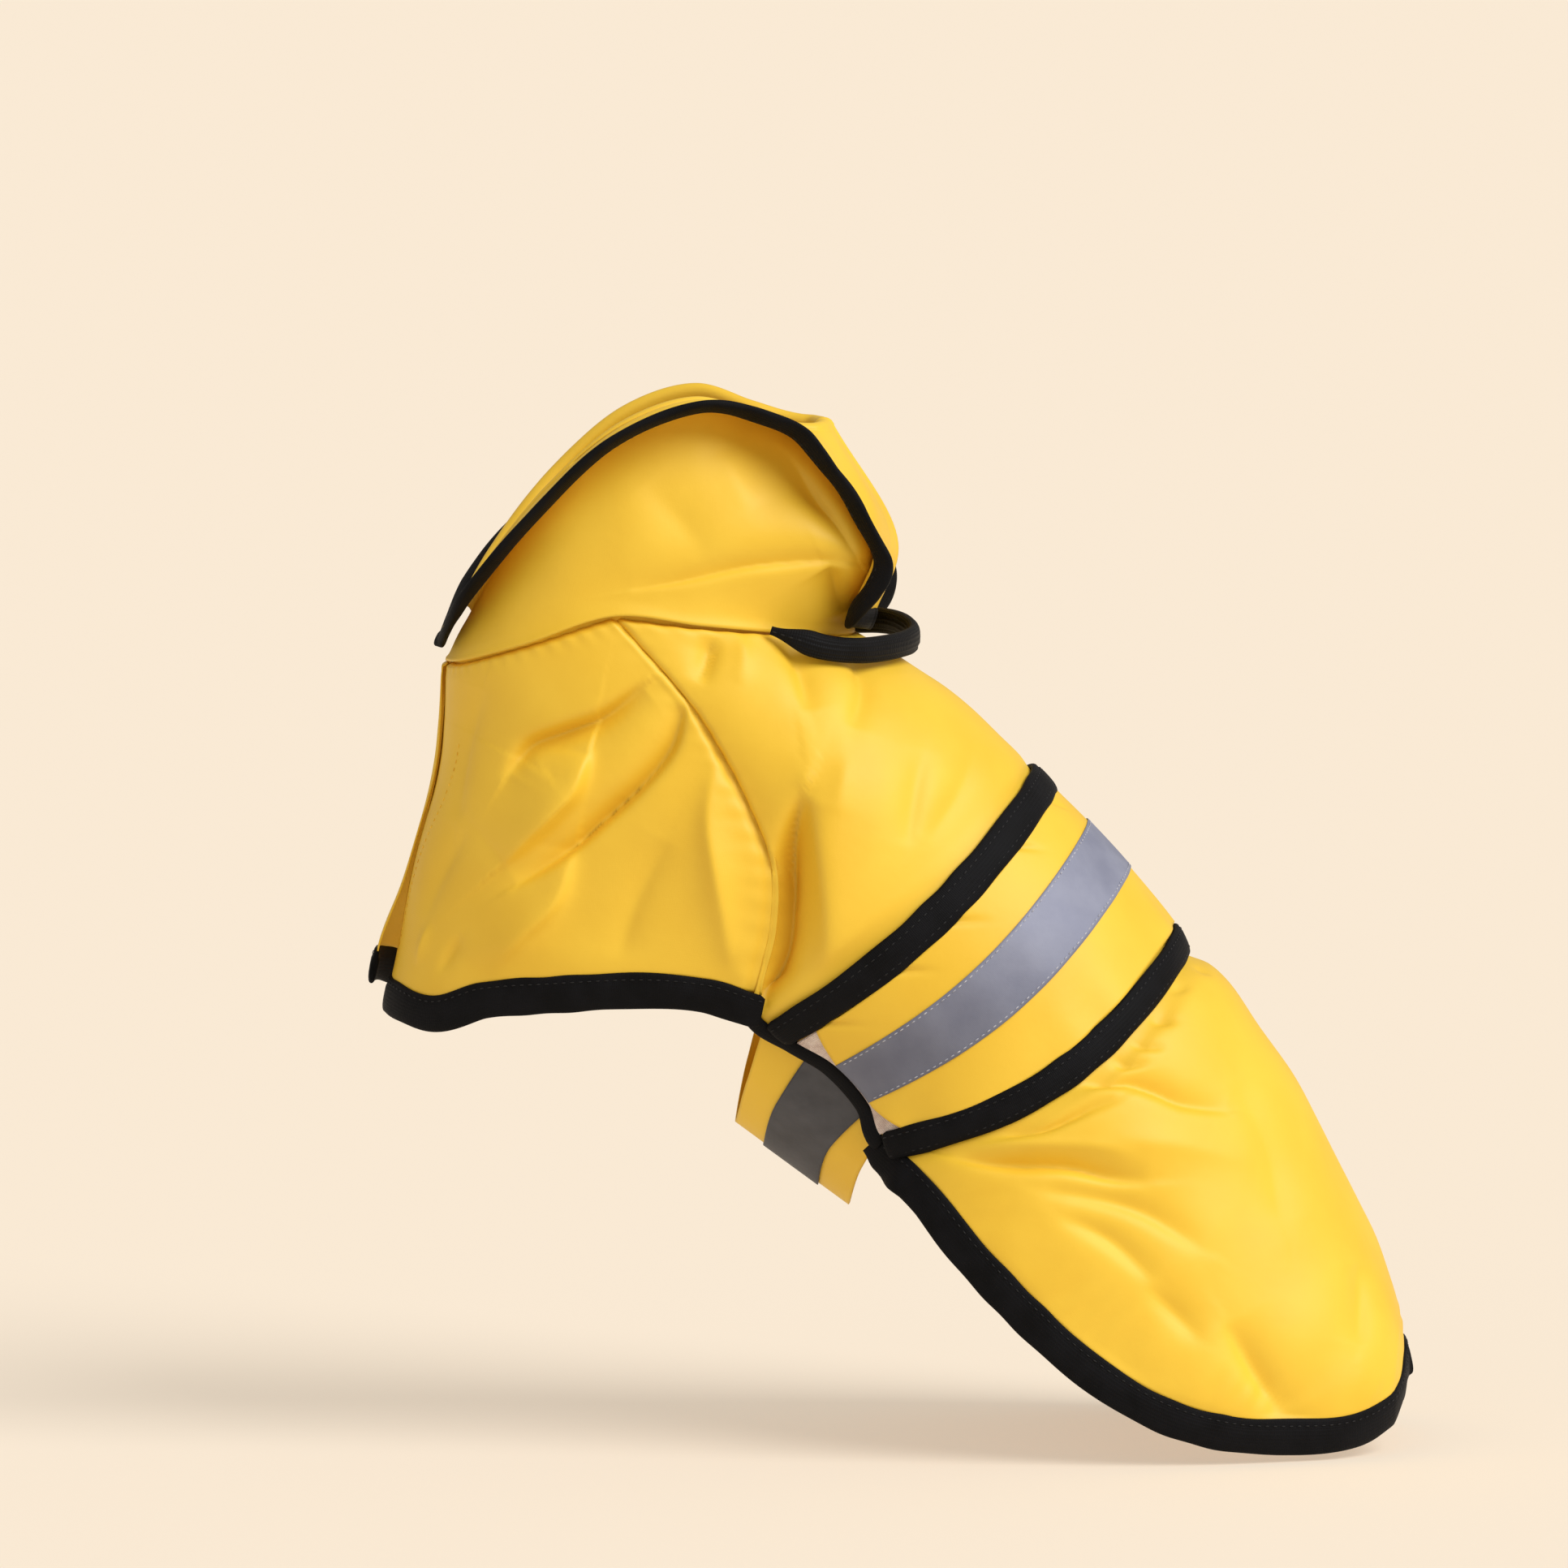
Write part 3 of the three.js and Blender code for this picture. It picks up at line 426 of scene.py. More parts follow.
def folded(folds, points, shift=(7, -5), far_depth=0.85):
    """Sum of the folds at 3-D points. The far side has the same ones, moved and shallower."""
    x, y, z = points[..., 0], points[..., 1], points[..., 2]
    far = y > 0
    seen_x = x - np.where(far, shift[0], 0)
    seen_z = z - VIEW_RISE * np.abs(y) - np.where(far, shift[1], 0)
    total = sum(fold_at(fold, seen_x, seen_z) for fold in folds)
    return total * np.where(far, far_depth, 1.0) + rippled(x, y, z)


print("a fold's depth on its line:",
      fold_at((((0, 0), (10, 0)), (3, 3), -2), np.array([5.0]), np.array([0.0])).round(2))

# %% Folds of the back panel
BACK_FOLDS = [
    (((-42, -46), (-48.5, -64), (-52, -80), (-54.5, -98), (-57, -118), (-60, -136)), (12, 3.5), -17),
    (((-41, -36), (-37.5, -56), (-34.5, -76), (-33, -96), (-35, -118)), (17, 8), 6.5),
    (((-52.5, -72), (-54, -98), (-61, -116)), (3, 3), 1.6),
    (((-73.5, 17), (-76, 8), (-80, -4)), (3.5, 7), -4.6),
    (((-66, 16), (-64, 6), (-66, -4)), (4, 4), 1.6),
    (((-50, 14), (-43, 2), (-40, -14)), (8, 5), -4.4),
    (((-25, 12), (-20, -4), (-24, -20)), (8, 4), -4),
    (((3, -28), (-1, -48), (-4, -64)), (5, 9), -2.6),
    (((22, -26), (16, -44), (4, -62)), (6, 8), -2),
    (((-26, -30), (-30, -52)), (6, 6), 1.6),
    (((52, -150.5), (76.5, -151), (88, -154.5), (97, -158.5), (114, -161.5)), (8, 2), -6),
    (((28, -169.2), (45, -167.4), (54, -164.4), (63, -160.5), (73, -157)), (6, 2), -4.8),
    (((12, -178), (33, -181.5), (54, -182), (72, -186), (84, -187)), (9, 2.2), -7),
    (((14, -174), (40, -173), (66, -174), (78, -177)), (2.5, 5), 1.6),
    (((44, -190), (81, -198), (104, -212)), (9, 4), -4),
    (((52, -200), (70, -209), (86, -223)), (8, 4), -3.4),
    (((60, -172), (95, -174), (125, -180)), (9, 9), 1.8),
    (((114, -240), (126, -261), (134, -274)), (10, 5), -5.6),
    (((163, -218), (165, -232), (163, -248)), (5, 8), -4),
    (((118, -150), (130, -176), (134, -202)), (12, 6), -2.6),
    (((88, -118), (99, -116.5)), (2.4, 1.2), -2),
    (((82, -127.5), (95, -128.5)), (3, 1.2), -2.4),
    (((75, -135.5), (80, -136.5), (91, -138)), (2.6, 1.2), -2.2),
    (((66, -140), (74, -143), (85, -143.5)), (3, 1.4), -2.8),
    (((102, -109), (108, -112)), (2.4, 1.2), -1.6),
    (((84, -226), (104, -246)), (8, 5), -3),
]
print("folds of the back panel:", len(BACK_FOLDS))

# %% Folds of the chest panels
CHEST_FOLDS = [
    (((-101, -5), (-117, -16.5), (-132, -22), (-144, -27), (-150, -37)), (9, 2.4), -9),
    (((-121, -30), (-124.5, -43.5), (-132, -52.5), (-141, -61), (-151, -70)), (2, 19), 9),
    (((-86, -12), (-90, -27), (-102, -42), (-117, -55.5), (-129, -66), (-147, -78)), (2, 8), -9),
    (((-127, -66), (-132, -84), (-146, -99), (-158, -112)), (3.4, 17), 5.6),
    (((-74.5, -35), (-77, -54), (-73, -82), (-68, -110)), (10, 6), 5),
    (((-180, -94), (-184.5, -107)), (2.2, 2.2), 1.6),
    (((-168, -97), (-176, -110)), (4, 2), -2),
    (((-92, -62), (-104, -86), (-110, -106)), (6, 10), -2.6),
    (((-160, -6), (-167, -28), (-170, -54)), (5, 10), -2.4),
    (((-166, -58), (-176, -76), (-181, -90)), (5, 7), -2.2),
]
print("folds of the chest panels:", len(CHEST_FOLDS))

# %% [markdown]
# ## Surfaces
#
# A surface takes two numbers, how far along the coat (s, in millimetres) and how far round it
# (t, from -1 at the left edge to 1 at the right), and gives a point. It is a smooth form plus a
# relief, the folds, measured along the form's outward normal. Each section of the back is part of
# an ellipse that leans with the back, and the chest panels go on from its edge.

# %% A surface
STEP_ALONG, STEP_ROUND = 0.02, 0.0004


class Surface:
    """A form and the relief on it. turn is -1 where s and t run the other way round."""

    def __init__(self, form, relief, turn=1):
        self.form, self.relief, self.turn = form, relief, turn

    def facing(self, point, s, t):
        along = point(s + STEP_ALONG, t) - point(s - STEP_ALONG, t)
        around = point(s, t + STEP_ROUND) - point(s, t - STEP_ROUND)
        return unit(np.cross(along, around)) * self.turn

    def point(self, s, t):
        start = self.form(s, t)
        return start + self.facing(self.form, s, t) * self.relief(s, t, start)[..., None]

    def normal(self, s, t):
        return self.facing(self.point, s, t)


def back_form(s, t):
    """Sections from the table, each sagging by its bow between the middle and the edge."""
    at = {name: through(STATIONS, BACK[name], s) for name in COLUMNS}
    wrap = np.radians(at["wrap"])
    run_x = at["edge_x"] - at["top_x"]
    run_z = at["edge_z"] + VIEW_RISE * at["half"] * np.sin(wrap) - at["top_z"]
    share = (1 - np.cos(t * wrap)) / (1 - np.cos(wrap))
    sag = at["bow"] * np.sin(np.pi * np.minimum(share, 1)) / np.hypot(run_x, run_z)
    return np.stack([at["top_x"] + run_x * share - run_z * sag,
                     at["half"] * np.sin(t * wrap),
                     at["top_z"] + run_z * share + run_x * sag], axis=-1)


def back_relief(s, t, at):
    """The folds, which fade out towards the edges, the belt and the middle of the back."""
    before = smooth(STATION["belt start"] - s, 0.5, 8)
    behind = smooth(s - STATION["belt end"], 0.5, 5)
    off_edge = smooth(1 - np.abs(t), 0.0, 0.024)
    off_middle = smooth(np.abs(at[..., 1]), 2, 20)
    folds = folded(BACK_FOLDS, at) * (0.2 + 0.8 * off_middle)
    return folds * np.maximum(before, behind) * off_edge * smooth(s, 1, 10)


back = Surface(back_form, back_relief)
print("back at the ribs:", back.point(np.array([STATION["ribs"]]), np.zeros(1)).round(1))

# %% The chest panels' form
SIDES = ((-1, "left"), (1, "right"))
CHEST_ROWS = {
    "neck": (-173.7, 4.5),
    "collar slope": (-174.3, -12),
    "withers": (-176.2, -26),
    "shoulder": (-179, -40),
    "shoulder point": (-183, -59),
    "ribs": (-188.5, -84),
    "seam end": (-194.4, -112.5),
}
HEM_RISE = ((0, 0), (0.12, 5), (0.3, 7), (0.55, 5), (0.75, 2), (0.88, -4), (1, 0))
CHEST_SQUARENESS = 2.4
CHEST_STATIONS = [STATION[name] for name in CHEST_ROWS]
CHEST_X, CHEST_Z = np.array(list(CHEST_ROWS.values())).T
LAP = 1.8
CORNER_AT, CORNER_REACH, CORNER_FLARE, CORNER_RISE = (-193, -103), 20, 5.5, 5


def chest_form(s, t, side):
    """t runs from 0 at the raglan seam to 1 at the middle of the chest."""
    seam = back_form(s, np.full(np.shape(s), float(side)))
    forward, sideways = np.sin(t * np.pi / 2), np.cos(t * np.pi / 2)
    power = CHEST_SQUARENESS
    size = (np.abs(forward) ** power + np.abs(sideways) ** power) ** (-1 / power)
    share = forward * size
    low = smooth(s / SEAM_END, 0.55, 1)
    along, rises = np.array(HEM_RISE).T
    centre_s = s - (low * CORNER_RISE * smooth(share, 0.8, 1) if side > 0 else 0)
    x = seam[..., 0] + (through(CHEST_STATIONS, CHEST_X, centre_s) - seam[..., 0]) * share
    z = seam[..., 2] + (through(CHEST_STATIONS, CHEST_Z, centre_s) - seam[..., 2]) * share
    return np.stack([x, seam[..., 1] * sideways * size, z + low * through(along, rises, share)],
                    axis=-1)


def chest_relief(s, t, at, side):
    """The folds, and on the right panel the lap over the left one and its flared corner."""
    off_hem = smooth(SEAM_END - s, 0, 9)
    relief = folded(CHEST_FOLDS, at) * smooth(t, 0.0, 0.035) * smooth(s, 1, 10) * off_hem
    if side > 0:
        away = np.hypot(at[..., 0] - CORNER_AT[0], at[..., 2] - CORNER_AT[1])
        flare = CORNER_FLARE * bell(away, CORNER_REACH)
        relief = relief + smooth(t, 0.72, 0.95) * LAP + flare
    return relief


def chest_panel(side):
    """On the far panel t runs back from 2 at its seam to 1, so both go the same way round."""
    def own(t):
        return t if side < 0 else 2 - t

    return Surface(lambda s, t: chest_form(s, own(t), side),
                   lambda s, t, at: chest_relief(s, own(t), at, side), turn=-1)


chest = {-1: chest_panel(-1), 1: chest_panel(1)}
print("chest, middle at the hem:", chest[-1].point(np.array([SEAM_END]), np.ones(1)).round(1))

# %% [markdown]
# ## Laying cloth on a surface
#
# A panel starts as a flat grid, the way cloth starts as a flat cut. Its rows and columns are then
# laid on the surface, which keeps the grid's square faces running along and round the coat, and
# Solidify gives it the thickness of cloth. The UV map is in metres along the cloth.


# %% Grid to panel
def to_object(mesh, name, material, node=None):
    """A piece that rides on the coat's one body and stands for a node of the fixed model."""
    data = bpy.data.meshes.new(name)
    mesh.to_mesh(data)
    mesh.free()
    data.materials.append(material)
    data.polygons.foreach_set("use_smooth", [True] * len(data.polygons))
    piece = new_object(name, data)
    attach(piece, "root")
    if node:
        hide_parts(node)
    return piece


def flat_grid(rows, columns):
    """A flat grid of rows by columns vertices, and each vertex's row and column number."""
    mesh = bmesh.new()
    bmesh.ops.create_grid(mesh, x_segments=rows - 1, y_segments=columns - 1, size=0.5)
    i = np.array([round((v.co.x + 0.5) * (rows - 1)) for v in mesh.verts])
    j = np.array([round((v.co.y + 0.5) * (columns - 1)) for v in mesh.verts])
    return mesh, i, j


def place(mesh, points, uv):
    """Moves the grid's vertices to points in millimetres, and writes the UV map in metres."""
    for vertex, point in zip(mesh.verts, points * MM):
        vertex.co = point
    layer = mesh.loops.layers.uv.new("UVMap")
    uv = uv * MM
    for face in mesh.faces:
        for loop in face.loops:
            loop[layer].uv = uv[loop.vert.index]


def face_outwards(mesh, normals):
    """Turns every face over if the grid came out inside out."""
    mesh.normal_update()
    agree = sum(vertex.normal.dot(Vector(n)) for vertex, n in zip(mesh.verts, normals))
    if agree < 0:
        bmesh.ops.reverse_faces(mesh, faces=mesh.faces)


def thicken(piece, wall):
    shell = piece.modifiers.new("cloth", "SOLIDIFY")
    shell.thickness = wall * MM
    shell.offset = -1


def lay(name, surface, s_range, t_range, shape, material, node, lift=None, wall=0.6):
    """A panel on a surface between two stations, lifted off it by lift(s, t) millimetres."""
    rows, columns = shape
    mesh, i, j = flat_grid(rows, columns)
    s = np.linspace(*s_range, rows)[i]
    t = t_range(s, j / (columns - 1)) if callable(t_range) else np.linspace(*t_range, columns)[j]
    normals = surface.normal(s, t)
    points = surface.point(s, t)
    if lift is not None:
        points = points + normals * np.broadcast_to(lift(s, t), s.shape)[:, None]
    step = surface.form(s, t * 0 + 0.51) - surface.form(s, t * 0 + 0.5)
    per_turn = np.linalg.norm(step, axis=-1)
    place(mesh, points, np.stack([s, t * per_turn * 100], axis=-1))
    face_outwards(mesh, normals)
    piece = to_object(mesh, name, material, node)
    thicken(piece, wall)
    print(name, len(piece.data.polygons), "faces")
    return piece


# %% [markdown]
# ## The back and chest panels
#
# The raglan seams join them: both sides of a seam dip into it, and the cloth puckers a little
# where the thread draws it up. The chest panels lap in front, the right one over the left one.

# %% Back and chest panels
SEAM_DEPTH, SEAM_WIDTH = 2.1, 1.3
GATHER_DEPTH, GATHER_WIDTH = 0.22, 4.5
DRAWN_DEPTH, DRAWN_AT, DRAWN_WIDTH = 0.3, 9, 7
TUCKED_UNDER = 1.2


def seam_roll(distance, along):
    """Both sides of a seam dip into it, and its thread draws the cloth up every few millimetres."""
    gather = GATHER_DEPTH * np.sin(along * 0.9) * bell(distance, GATHER_WIDTH)
    return -SEAM_DEPTH * bell(distance, SEAM_WIDTH) + gather


def back_seams(s, t):
    """The raglan and neck seams, and the skirt's cloth drawn up beside its binding."""
    reach = np.radians(through(STATIONS, BACK["wrap"], s)) * through(STATIONS, BACK["half"], s)
    sides = seam_roll((1 - np.abs(t)) * reach, s) * smooth(SEAM_END - s, -3, 3)
    hem = np.minimum((1 - np.abs(t)) * reach, TAIL - s)
    ripple = np.sin(s * 0.55 + 3 * np.sin(s * 0.11))
    drawn = DRAWN_DEPTH * ripple * bell(hem - DRAWN_AT, DRAWN_WIDTH)
    neck = seam_roll(s, t * 90)
    return sides + neck + drawn * smooth(s, STATION["puff"], STATION["haunch"])


def chest_seams(s, t):
    """The chest panel goes on a little under the back panel, where the seam allowance lies."""
    own = np.minimum(t, 2 - t)
    tucked = TUCKED_UNDER * smooth(-own, 0.0, 0.01)
    return seam_roll(own * 110, s) + seam_roll(s, t * 120) - tucked


back_cloth = lay("back_cloth", back, (NECK, TAIL), (-1, 1), (244, 202), yellow, "back_panel",
                 back_seams)
chest_left = lay("chest_left_cloth", chest[-1], (NECK, SEAM_END), (-0.014, 1.02), (120, 170), yellow,
                 "front_left", chest_seams)
chest_right = lay("chest_right_cloth", chest[1], (NECK, SEAM_END), (0.95, 2.014), (120, 170), yellow,
                  "front_right", chest_seams)

# %% [markdown]
# ## Bindings
#
# A binding is a ribbon folded over the cloth's raw edge and stitched down, so in section it is a
# flat loop with round ends. A flat grid is rolled into a tube for it: one way of the grid runs
# along the edge, the other way round the section, and the two long sides are merged.

# %% Rolling a grid into a bound edge
SQUARED = 0.77
GROOVE_AT, GROOVE_WIDTH, GROOVE_DEPTH = 0.33, 0.06, 0.22


def edge_frames(points, normals, inner):
    """For each point of an edge: the point, the outward normal and the way on past the edge."""
    tangent = unit(np.gradient(points, axis=0))
    past = unit(np.cross(tangent, normals))
    past = past * np.sign(-np.sum(past * (inner - points), axis=1, keepdims=True))
    return points, unit(normals - tangent * np.sum(normals * tangent, axis=1, keepdims=True)), past


def lengths_of(points):
    """How far along a line each of its points lies."""
    return np.concatenate([[0], np.cumsum(np.linalg.norm(np.diff(points, axis=0), axis=1))])


def rolled(name, frames, size, place_at, material, node, around=20, puff=0.05, taper=(2, 0.8)):
    """A bound edge along frames. place_at puts its section past and above the edge."""
    points, normals, past = frames
    count, (width, thickness), (middle, lift) = len(points), size, place_at
    mesh, i, j = flat_grid(count, around + 1)
    lengths = lengths_of(points)
    from_end = np.minimum(lengths, lengths[-1] - lengths)[i]
    wide = taper[1] + (1 - taper[1]) * smooth(from_end, -0.01, taper[0])
    along = lengths[i]
    short_wave = np.sin(along / 4.1 + 1.4 * np.sin(along / 13.0))
    wave = 1 + puff * short_wave + puff * np.sin(along / 21.0 + 1)
    across, up = np.cos(2 * np.pi * j / around), np.sin(2 * np.pi * j / around)
    a = np.sign(across) * np.abs(across) ** SQUARED * width / 2
    b = np.sign(up) * np.abs(up) ** SQUARED * thickness / 2
    groove = bell(a / width + GROOVE_AT, GROOVE_WIDTH) * GROOVE_DEPTH
    laid = (points[i] + past[i] * (middle + a * wide * (1.5 - wave / 2))[:, None]
            + normals[i] * (lift + b * wide * wave * (1 - groove))[:, None])
    place(mesh, laid, np.stack([along, j / around * 2 * width], axis=-1))
    bmesh.ops.remove_doubles(mesh, verts=mesh.verts, dist=0.002 * MM)
    bmesh.ops.holes_fill(mesh, edges=[e for e in mesh.edges if e.is_boundary], sides=0)
    bmesh.ops.recalc_face_normals(mesh, faces=mesh.faces)
    print(name, "is", round(lengths[-1]), "mm long")
    return to_object(mesh, name, material, node)


def frames_on(surface, s, t, inner_s, inner_t):
    """Frames along a surface's edge. The inner point tells which way the cloth lies."""
    return edge_frames(surface.point(s, t), surface.normal(s, t), surface.point(inner_s, inner_t))


# %% Chest hem, flank and skirt bindings
HEM_SIZE, HEM_PLACE = (13.6, 3.2), (5.9, 0.0)
FLANK_SIZE, FLANK_PLACE = (6.6, 3.4), (2.4, 0.4)
INNER = 0.97
hems = {}
for side, name, last in ((-1, "left", 0.975), (1, "right", 1.05)):
    t = np.linspace(-0.022, last, 220)
    t = t if side < 0 else 2 - t
    s = np.full(t.shape, SEAM_END)
    hems[side] = frames_on(chest[side], s, t, s - 3, t)
    rolled("chest_hem_" + name, hems[side], HEM_SIZE, HEM_PLACE, black,
           "front_hem_binding_" + name)

for side, name in SIDES:
    s = np.linspace(STATION["belt start"] - 8, STATION["belt rear"] + 3.4, 110)
    t = np.full(s.shape, float(side))
    rolled("flank_binding_" + name, frames_on(back, s, t, s, t * INNER), FLANK_SIZE, FLANK_PLACE,
           black, "side_binding_" + name, around=16)


def skirt_edge():
    """The skirt's whole edge, from the left flank round the tail to the right flank."""
    s = np.linspace(STATION["belt rear"] + 0.4, TAIL, 240)
    t = np.linspace(-1, 1, 9)[1:-1]
    all_s = np.concatenate([s, np.full(t.shape, TAIL), s[::-1]])
    all_t = np.concatenate([np.full(s.shape, -1.0), t, np.full(s.shape, 1.0)])
    inner_s = np.where(np.abs(all_t) < 1, all_s - 2, all_s - 0.2)
    return frames_on(back, all_s, all_t, inner_s, all_t * INNER)


skirt = skirt_edge()
rolled("skirt_hem", skirt, HEM_SIZE, HEM_PLACE, black, "skirt_binding",
       taper=(5, 0.6))

# %% [markdown]
# ## The belt
#
# The belt lies on the back panel, so it is made from the back panel's own surface, moved out by
# the thickness of what is under it. Its two edges are bound, and the reflective tape is stitched
# along the middle. Its ends stop just short of the flank binding, with their corners cut away, so
# the cream hook tape under them shows as a thin line that widens at both corners.

# %% Belt and tape
PATCH_LIFT = 1.0
BELT_LIFT = 1.8
TAPE_LIFT = 2.2
BELT_REACH = 0.987
CORNER_CUT, CORNER_LENGTH = 0.052, 17
HALF_ROUND = 161
PUCKERS = (-0.9, -0.71, -0.56, -0.33, -0.12, 0.15, 0.31, 0.55, 0.7, 0.88)
PUCKER_DEPTH, PUCKER_WIDTH, PUCKER_LENGTH = 1.5, 1.6, 6


def belt_reach(s, share):
    """The belt's width round the body, cut away towards both corners."""
    low, high = STATION["belt cloth"], STATION["belt rear"]
    corner = np.clip(1 - np.minimum(s - low, high - s) / CORNER_LENGTH, 0, 1) ** 1.3
    return (2 * share - 1) * (BELT_REACH - CORNER_CUT * corner)


def belt_waves(s, t):
    """Short puckers beside the front binding and soft waves towards the rear one."""
    from_front, from_rear = s - STATION["belt cloth"], STATION["belt rear"] - s
    puckers = sum(bell((t - at) * HALF_ROUND - from_front * 0.8, PUCKER_WIDTH) for at in PUCKERS)
    waves = 0.5 * np.sin(t * 31 + 1.4 * np.sin(t * 13)) * smooth(from_front, 26, 45)
    drawn = -PUCKER_DEPTH * puckers * bell(from_front, PUCKER_LENGTH)
    return BELT_LIFT + drawn + waves * bell(from_rear, 12) + 0.4


belt_cloth = lay("belt_cloth", back, (STATION["belt cloth"], STATION["belt rear"]), belt_reach,
                 (60, 240), yellow, "belt", belt_waves)
belt_tape = lay("belt_tape_cloth", back, (STATION["tape start"], STATION["tape end"]),
                (-BELT_REACH, BELT_REACH), (24, 240), reflective, "belt_tape",
                lambda s, t: TAPE_LIFT + 0.5 + 0.12 * np.sin(t * 47), wall=0.35)
patches = []
for side, name in SIDES:
    s_range = STATION["belt cloth"] + 0.3, STATION["belt rear"] - 0.3
    t_range = (-1.0, -0.925) if side < 0 else (0.925, 1.0)
    patches.append(lay("hook_patch_cloth_" + name, back, s_range, t_range, (60, 16), hook,
                       "hook_patch_" + name, lambda s, t: PATCH_LIFT + t * 0))

# %% The belt's bound edges
BANDS = (("belt_front_band", "belt start", "belt cloth", "belt_front_binding"),
         ("belt_rear_band", "belt rear", "belt end", "belt_rear_binding"))
t = np.linspace(-1, 1, 320)
bands = {}
for name, first, last, node in BANDS:
    edges = [back.point(np.full(t.shape, STATION[row]), t) for row in (first, last)]
    width = float(np.median(np.linalg.norm(edges[1] - edges[0], axis=1)))
    s = np.full(t.shape, (STATION[first] + STATION[last]) / 2)
    bands[name] = frames_on(back, s, t, s - 2, t)
    rolled(name, bands[name], (width + 0.8, 3.4), (0.0, 1.9), black, node,
           puff=0.06)

# %% [markdown]
# ## The belly strap
#
# The strap is caught under the back panel's two side edges and passes under the belly. Its path
# is a smooth curve through a few points for each share of its width, from the front edge to the
# rear one.

# %% Strap and its tape
STRAP_FRONT = ((-62.5, -150), (-66.9, -165.9))
STRAP_REAR = ((-20.5, -183), (-24.9, -196.8))
STRAP_SIDE_HALF = 37
STRAP_LOW = -3.81
STRAP_WIDTH = 55


def strap_path(share, count):
    """From flank to flank under the belly, for a share of the strap's width."""
    front, rear = np.array(STRAP_FRONT), np.array(STRAP_REAR)
    side, bottom = front + (rear - front) * share
    s = STATION["belt start"] + 3 + (STATION["belt rear"] - 2 - STATION["belt start"]) * share
    under = []
    for t, drop in ((-0.92, 0), (-0.96, 0), (-1.0, 0.8)):
        at = np.array([s]), np.array([t])
        under.append((back.point(*at) + back.normal(*at) * (STRAP_LOW - drop))[0])
    left = under + [np.array([side[0], -STRAP_SIDE_HALF, side[1] + VIEW_RISE * STRAP_SIDE_HALF])]
    right = [p * (1, -1, 1) for p in reversed(left)]
    return curve(left + [np.array([bottom[0], 0, bottom[1]])] + right, count)


def strap_piece(name, shares, lift, wall, material, node, rows, columns=160):
    """The strap, or the part of its width between two shares, lifted off its path."""
    paths = np.array([strap_path(share, columns) for share in np.linspace(*shares, rows)])
    normals = unit(np.cross(np.gradient(paths, axis=0), np.gradient(paths, axis=1)))
    outward = paths - paths.mean(axis=(0, 1)) - np.array([0, 0, 60])
    normals = normals * np.sign(np.sum(normals * outward))
    mesh, i, j = flat_grid(rows, columns)
    length = lengths_of(paths[rows // 2])
    wide = np.linspace(*shares, rows) * STRAP_WIDTH
    place(mesh, paths[i, j] + normals[i, j] * lift, np.stack([wide[i], length[j]], axis=-1))
    face_outwards(mesh, normals[i, j])
    piece = to_object(mesh, name, material, node)
    thicken(piece, wall)
    print(name, "is", round(length[-1]), "mm from flank to flank")
    return piece


strap_cloth = strap_piece("strap_cloth", (0, 1), 0.7, 0.7, yellow, "belly_strap", 40)
# The strap's tape wears the darker copy of the reflective finish, which is painted shade.
strap_tape = strap_piece("strap_tape", (0.26, 0.74), 1.6, 0.4, belly_tape_painted_shade, "belly_tape",
                         24)

# %% [markdown]
# ## The hood
#
# The hood stands up from the neck seam as a funnel, turns over at its rim and hangs back down
# outside itself, with its free edge bound. Each profile from the neck seam to the free edge is a
# smooth curve through the points of one table row, and smooth curves across the profiles join
# them. One half is made, and the other is its mirror image with a flap that hangs a little lower.

# %% Table of the hood
HOOD_ROWS = [
    (0, (-171, -0.3, 13), (-166, -0.3, 22), (-171.5, -0.3, 20), (-174, -0.3, 15), 180),
    (0.14, (-160, -25, 24), (-155, -21, 40), (-160, -26, 36), (-163, -30, 29), 145),
    (0.28, (-142, -42, 36), (-134, -34, 67), (-138, -41, 63), (-140, -46, 56), 120),
    (0.42, (-116, -50, 45), (-108, -35, 90), (-109, -43, 89), (-110, -48.5, 84), 100),
    (0.56, (-84, -51.5, 50), (-82, -31, 99), (-81, -40, 99.5), (-79, -46.5, 96), 90),
    (0.68, (-54, -49.5, 50), (-62, -24, 94), (-60, -33.5, 95.5), (-57, -41.5, 93), 80),
    (0.76, (-34, -48, 48), (-50, -22, 90.5), (-45.5, -35, 91.5), (-41, -44, 87.5), 68),
    (0.82, (-23.5, -45, 46), (-44, -20, 89.5), (-36, -38, 85), (-30.5, -47, 74.5), 50),
    (0.87, (-18, -39, 45), (-40, -18, 89.5), (-26.5, -36, 75), (-20.5, -47.5, 60.3), 35),
    (0.91, (-15.5, -31, 44), (-38, -13, 90), (-18, -33, 65.5), (-12.5, -46.5, 43), 22),
    (0.94, (-14.8, -22, 43.5), (-37, -9, 90.5), (-12.5, -27, 57), (-14.5, -44.5, 32), 12),
    (0.97, (-14.6, -13, 43), (-36.6, -5.5, 91), (-10.2, -18, 51), (-21, -38, 23.5), 6),
    (0.985, (-14.5, -6.5, 43), (-36.5, -2.8, 91), (-9.2, -9.5, 49), (-19, -20, 23), 3),
    (1, (-14.5, -0.2, 43), (-36.5, -0.2, 91), (-9, -0.2, 48), (-17, -0.2, 24), 0),
]
THROAT_SHARE = 0.42
FOLD_RADIUS = 2
HOOD_CLOTH = 1.2
FUNNEL_STEPS, TURN_STEPS, FLAP_STEPS, ROUND_STEPS = 70, 8, 34, 250


def raised(p):
    """A table point moved from the side view, which looks down a little, to its real height."""
    return np.array([p[0], p[1], p[2] + VIEW_RISE * abs(p[1])])


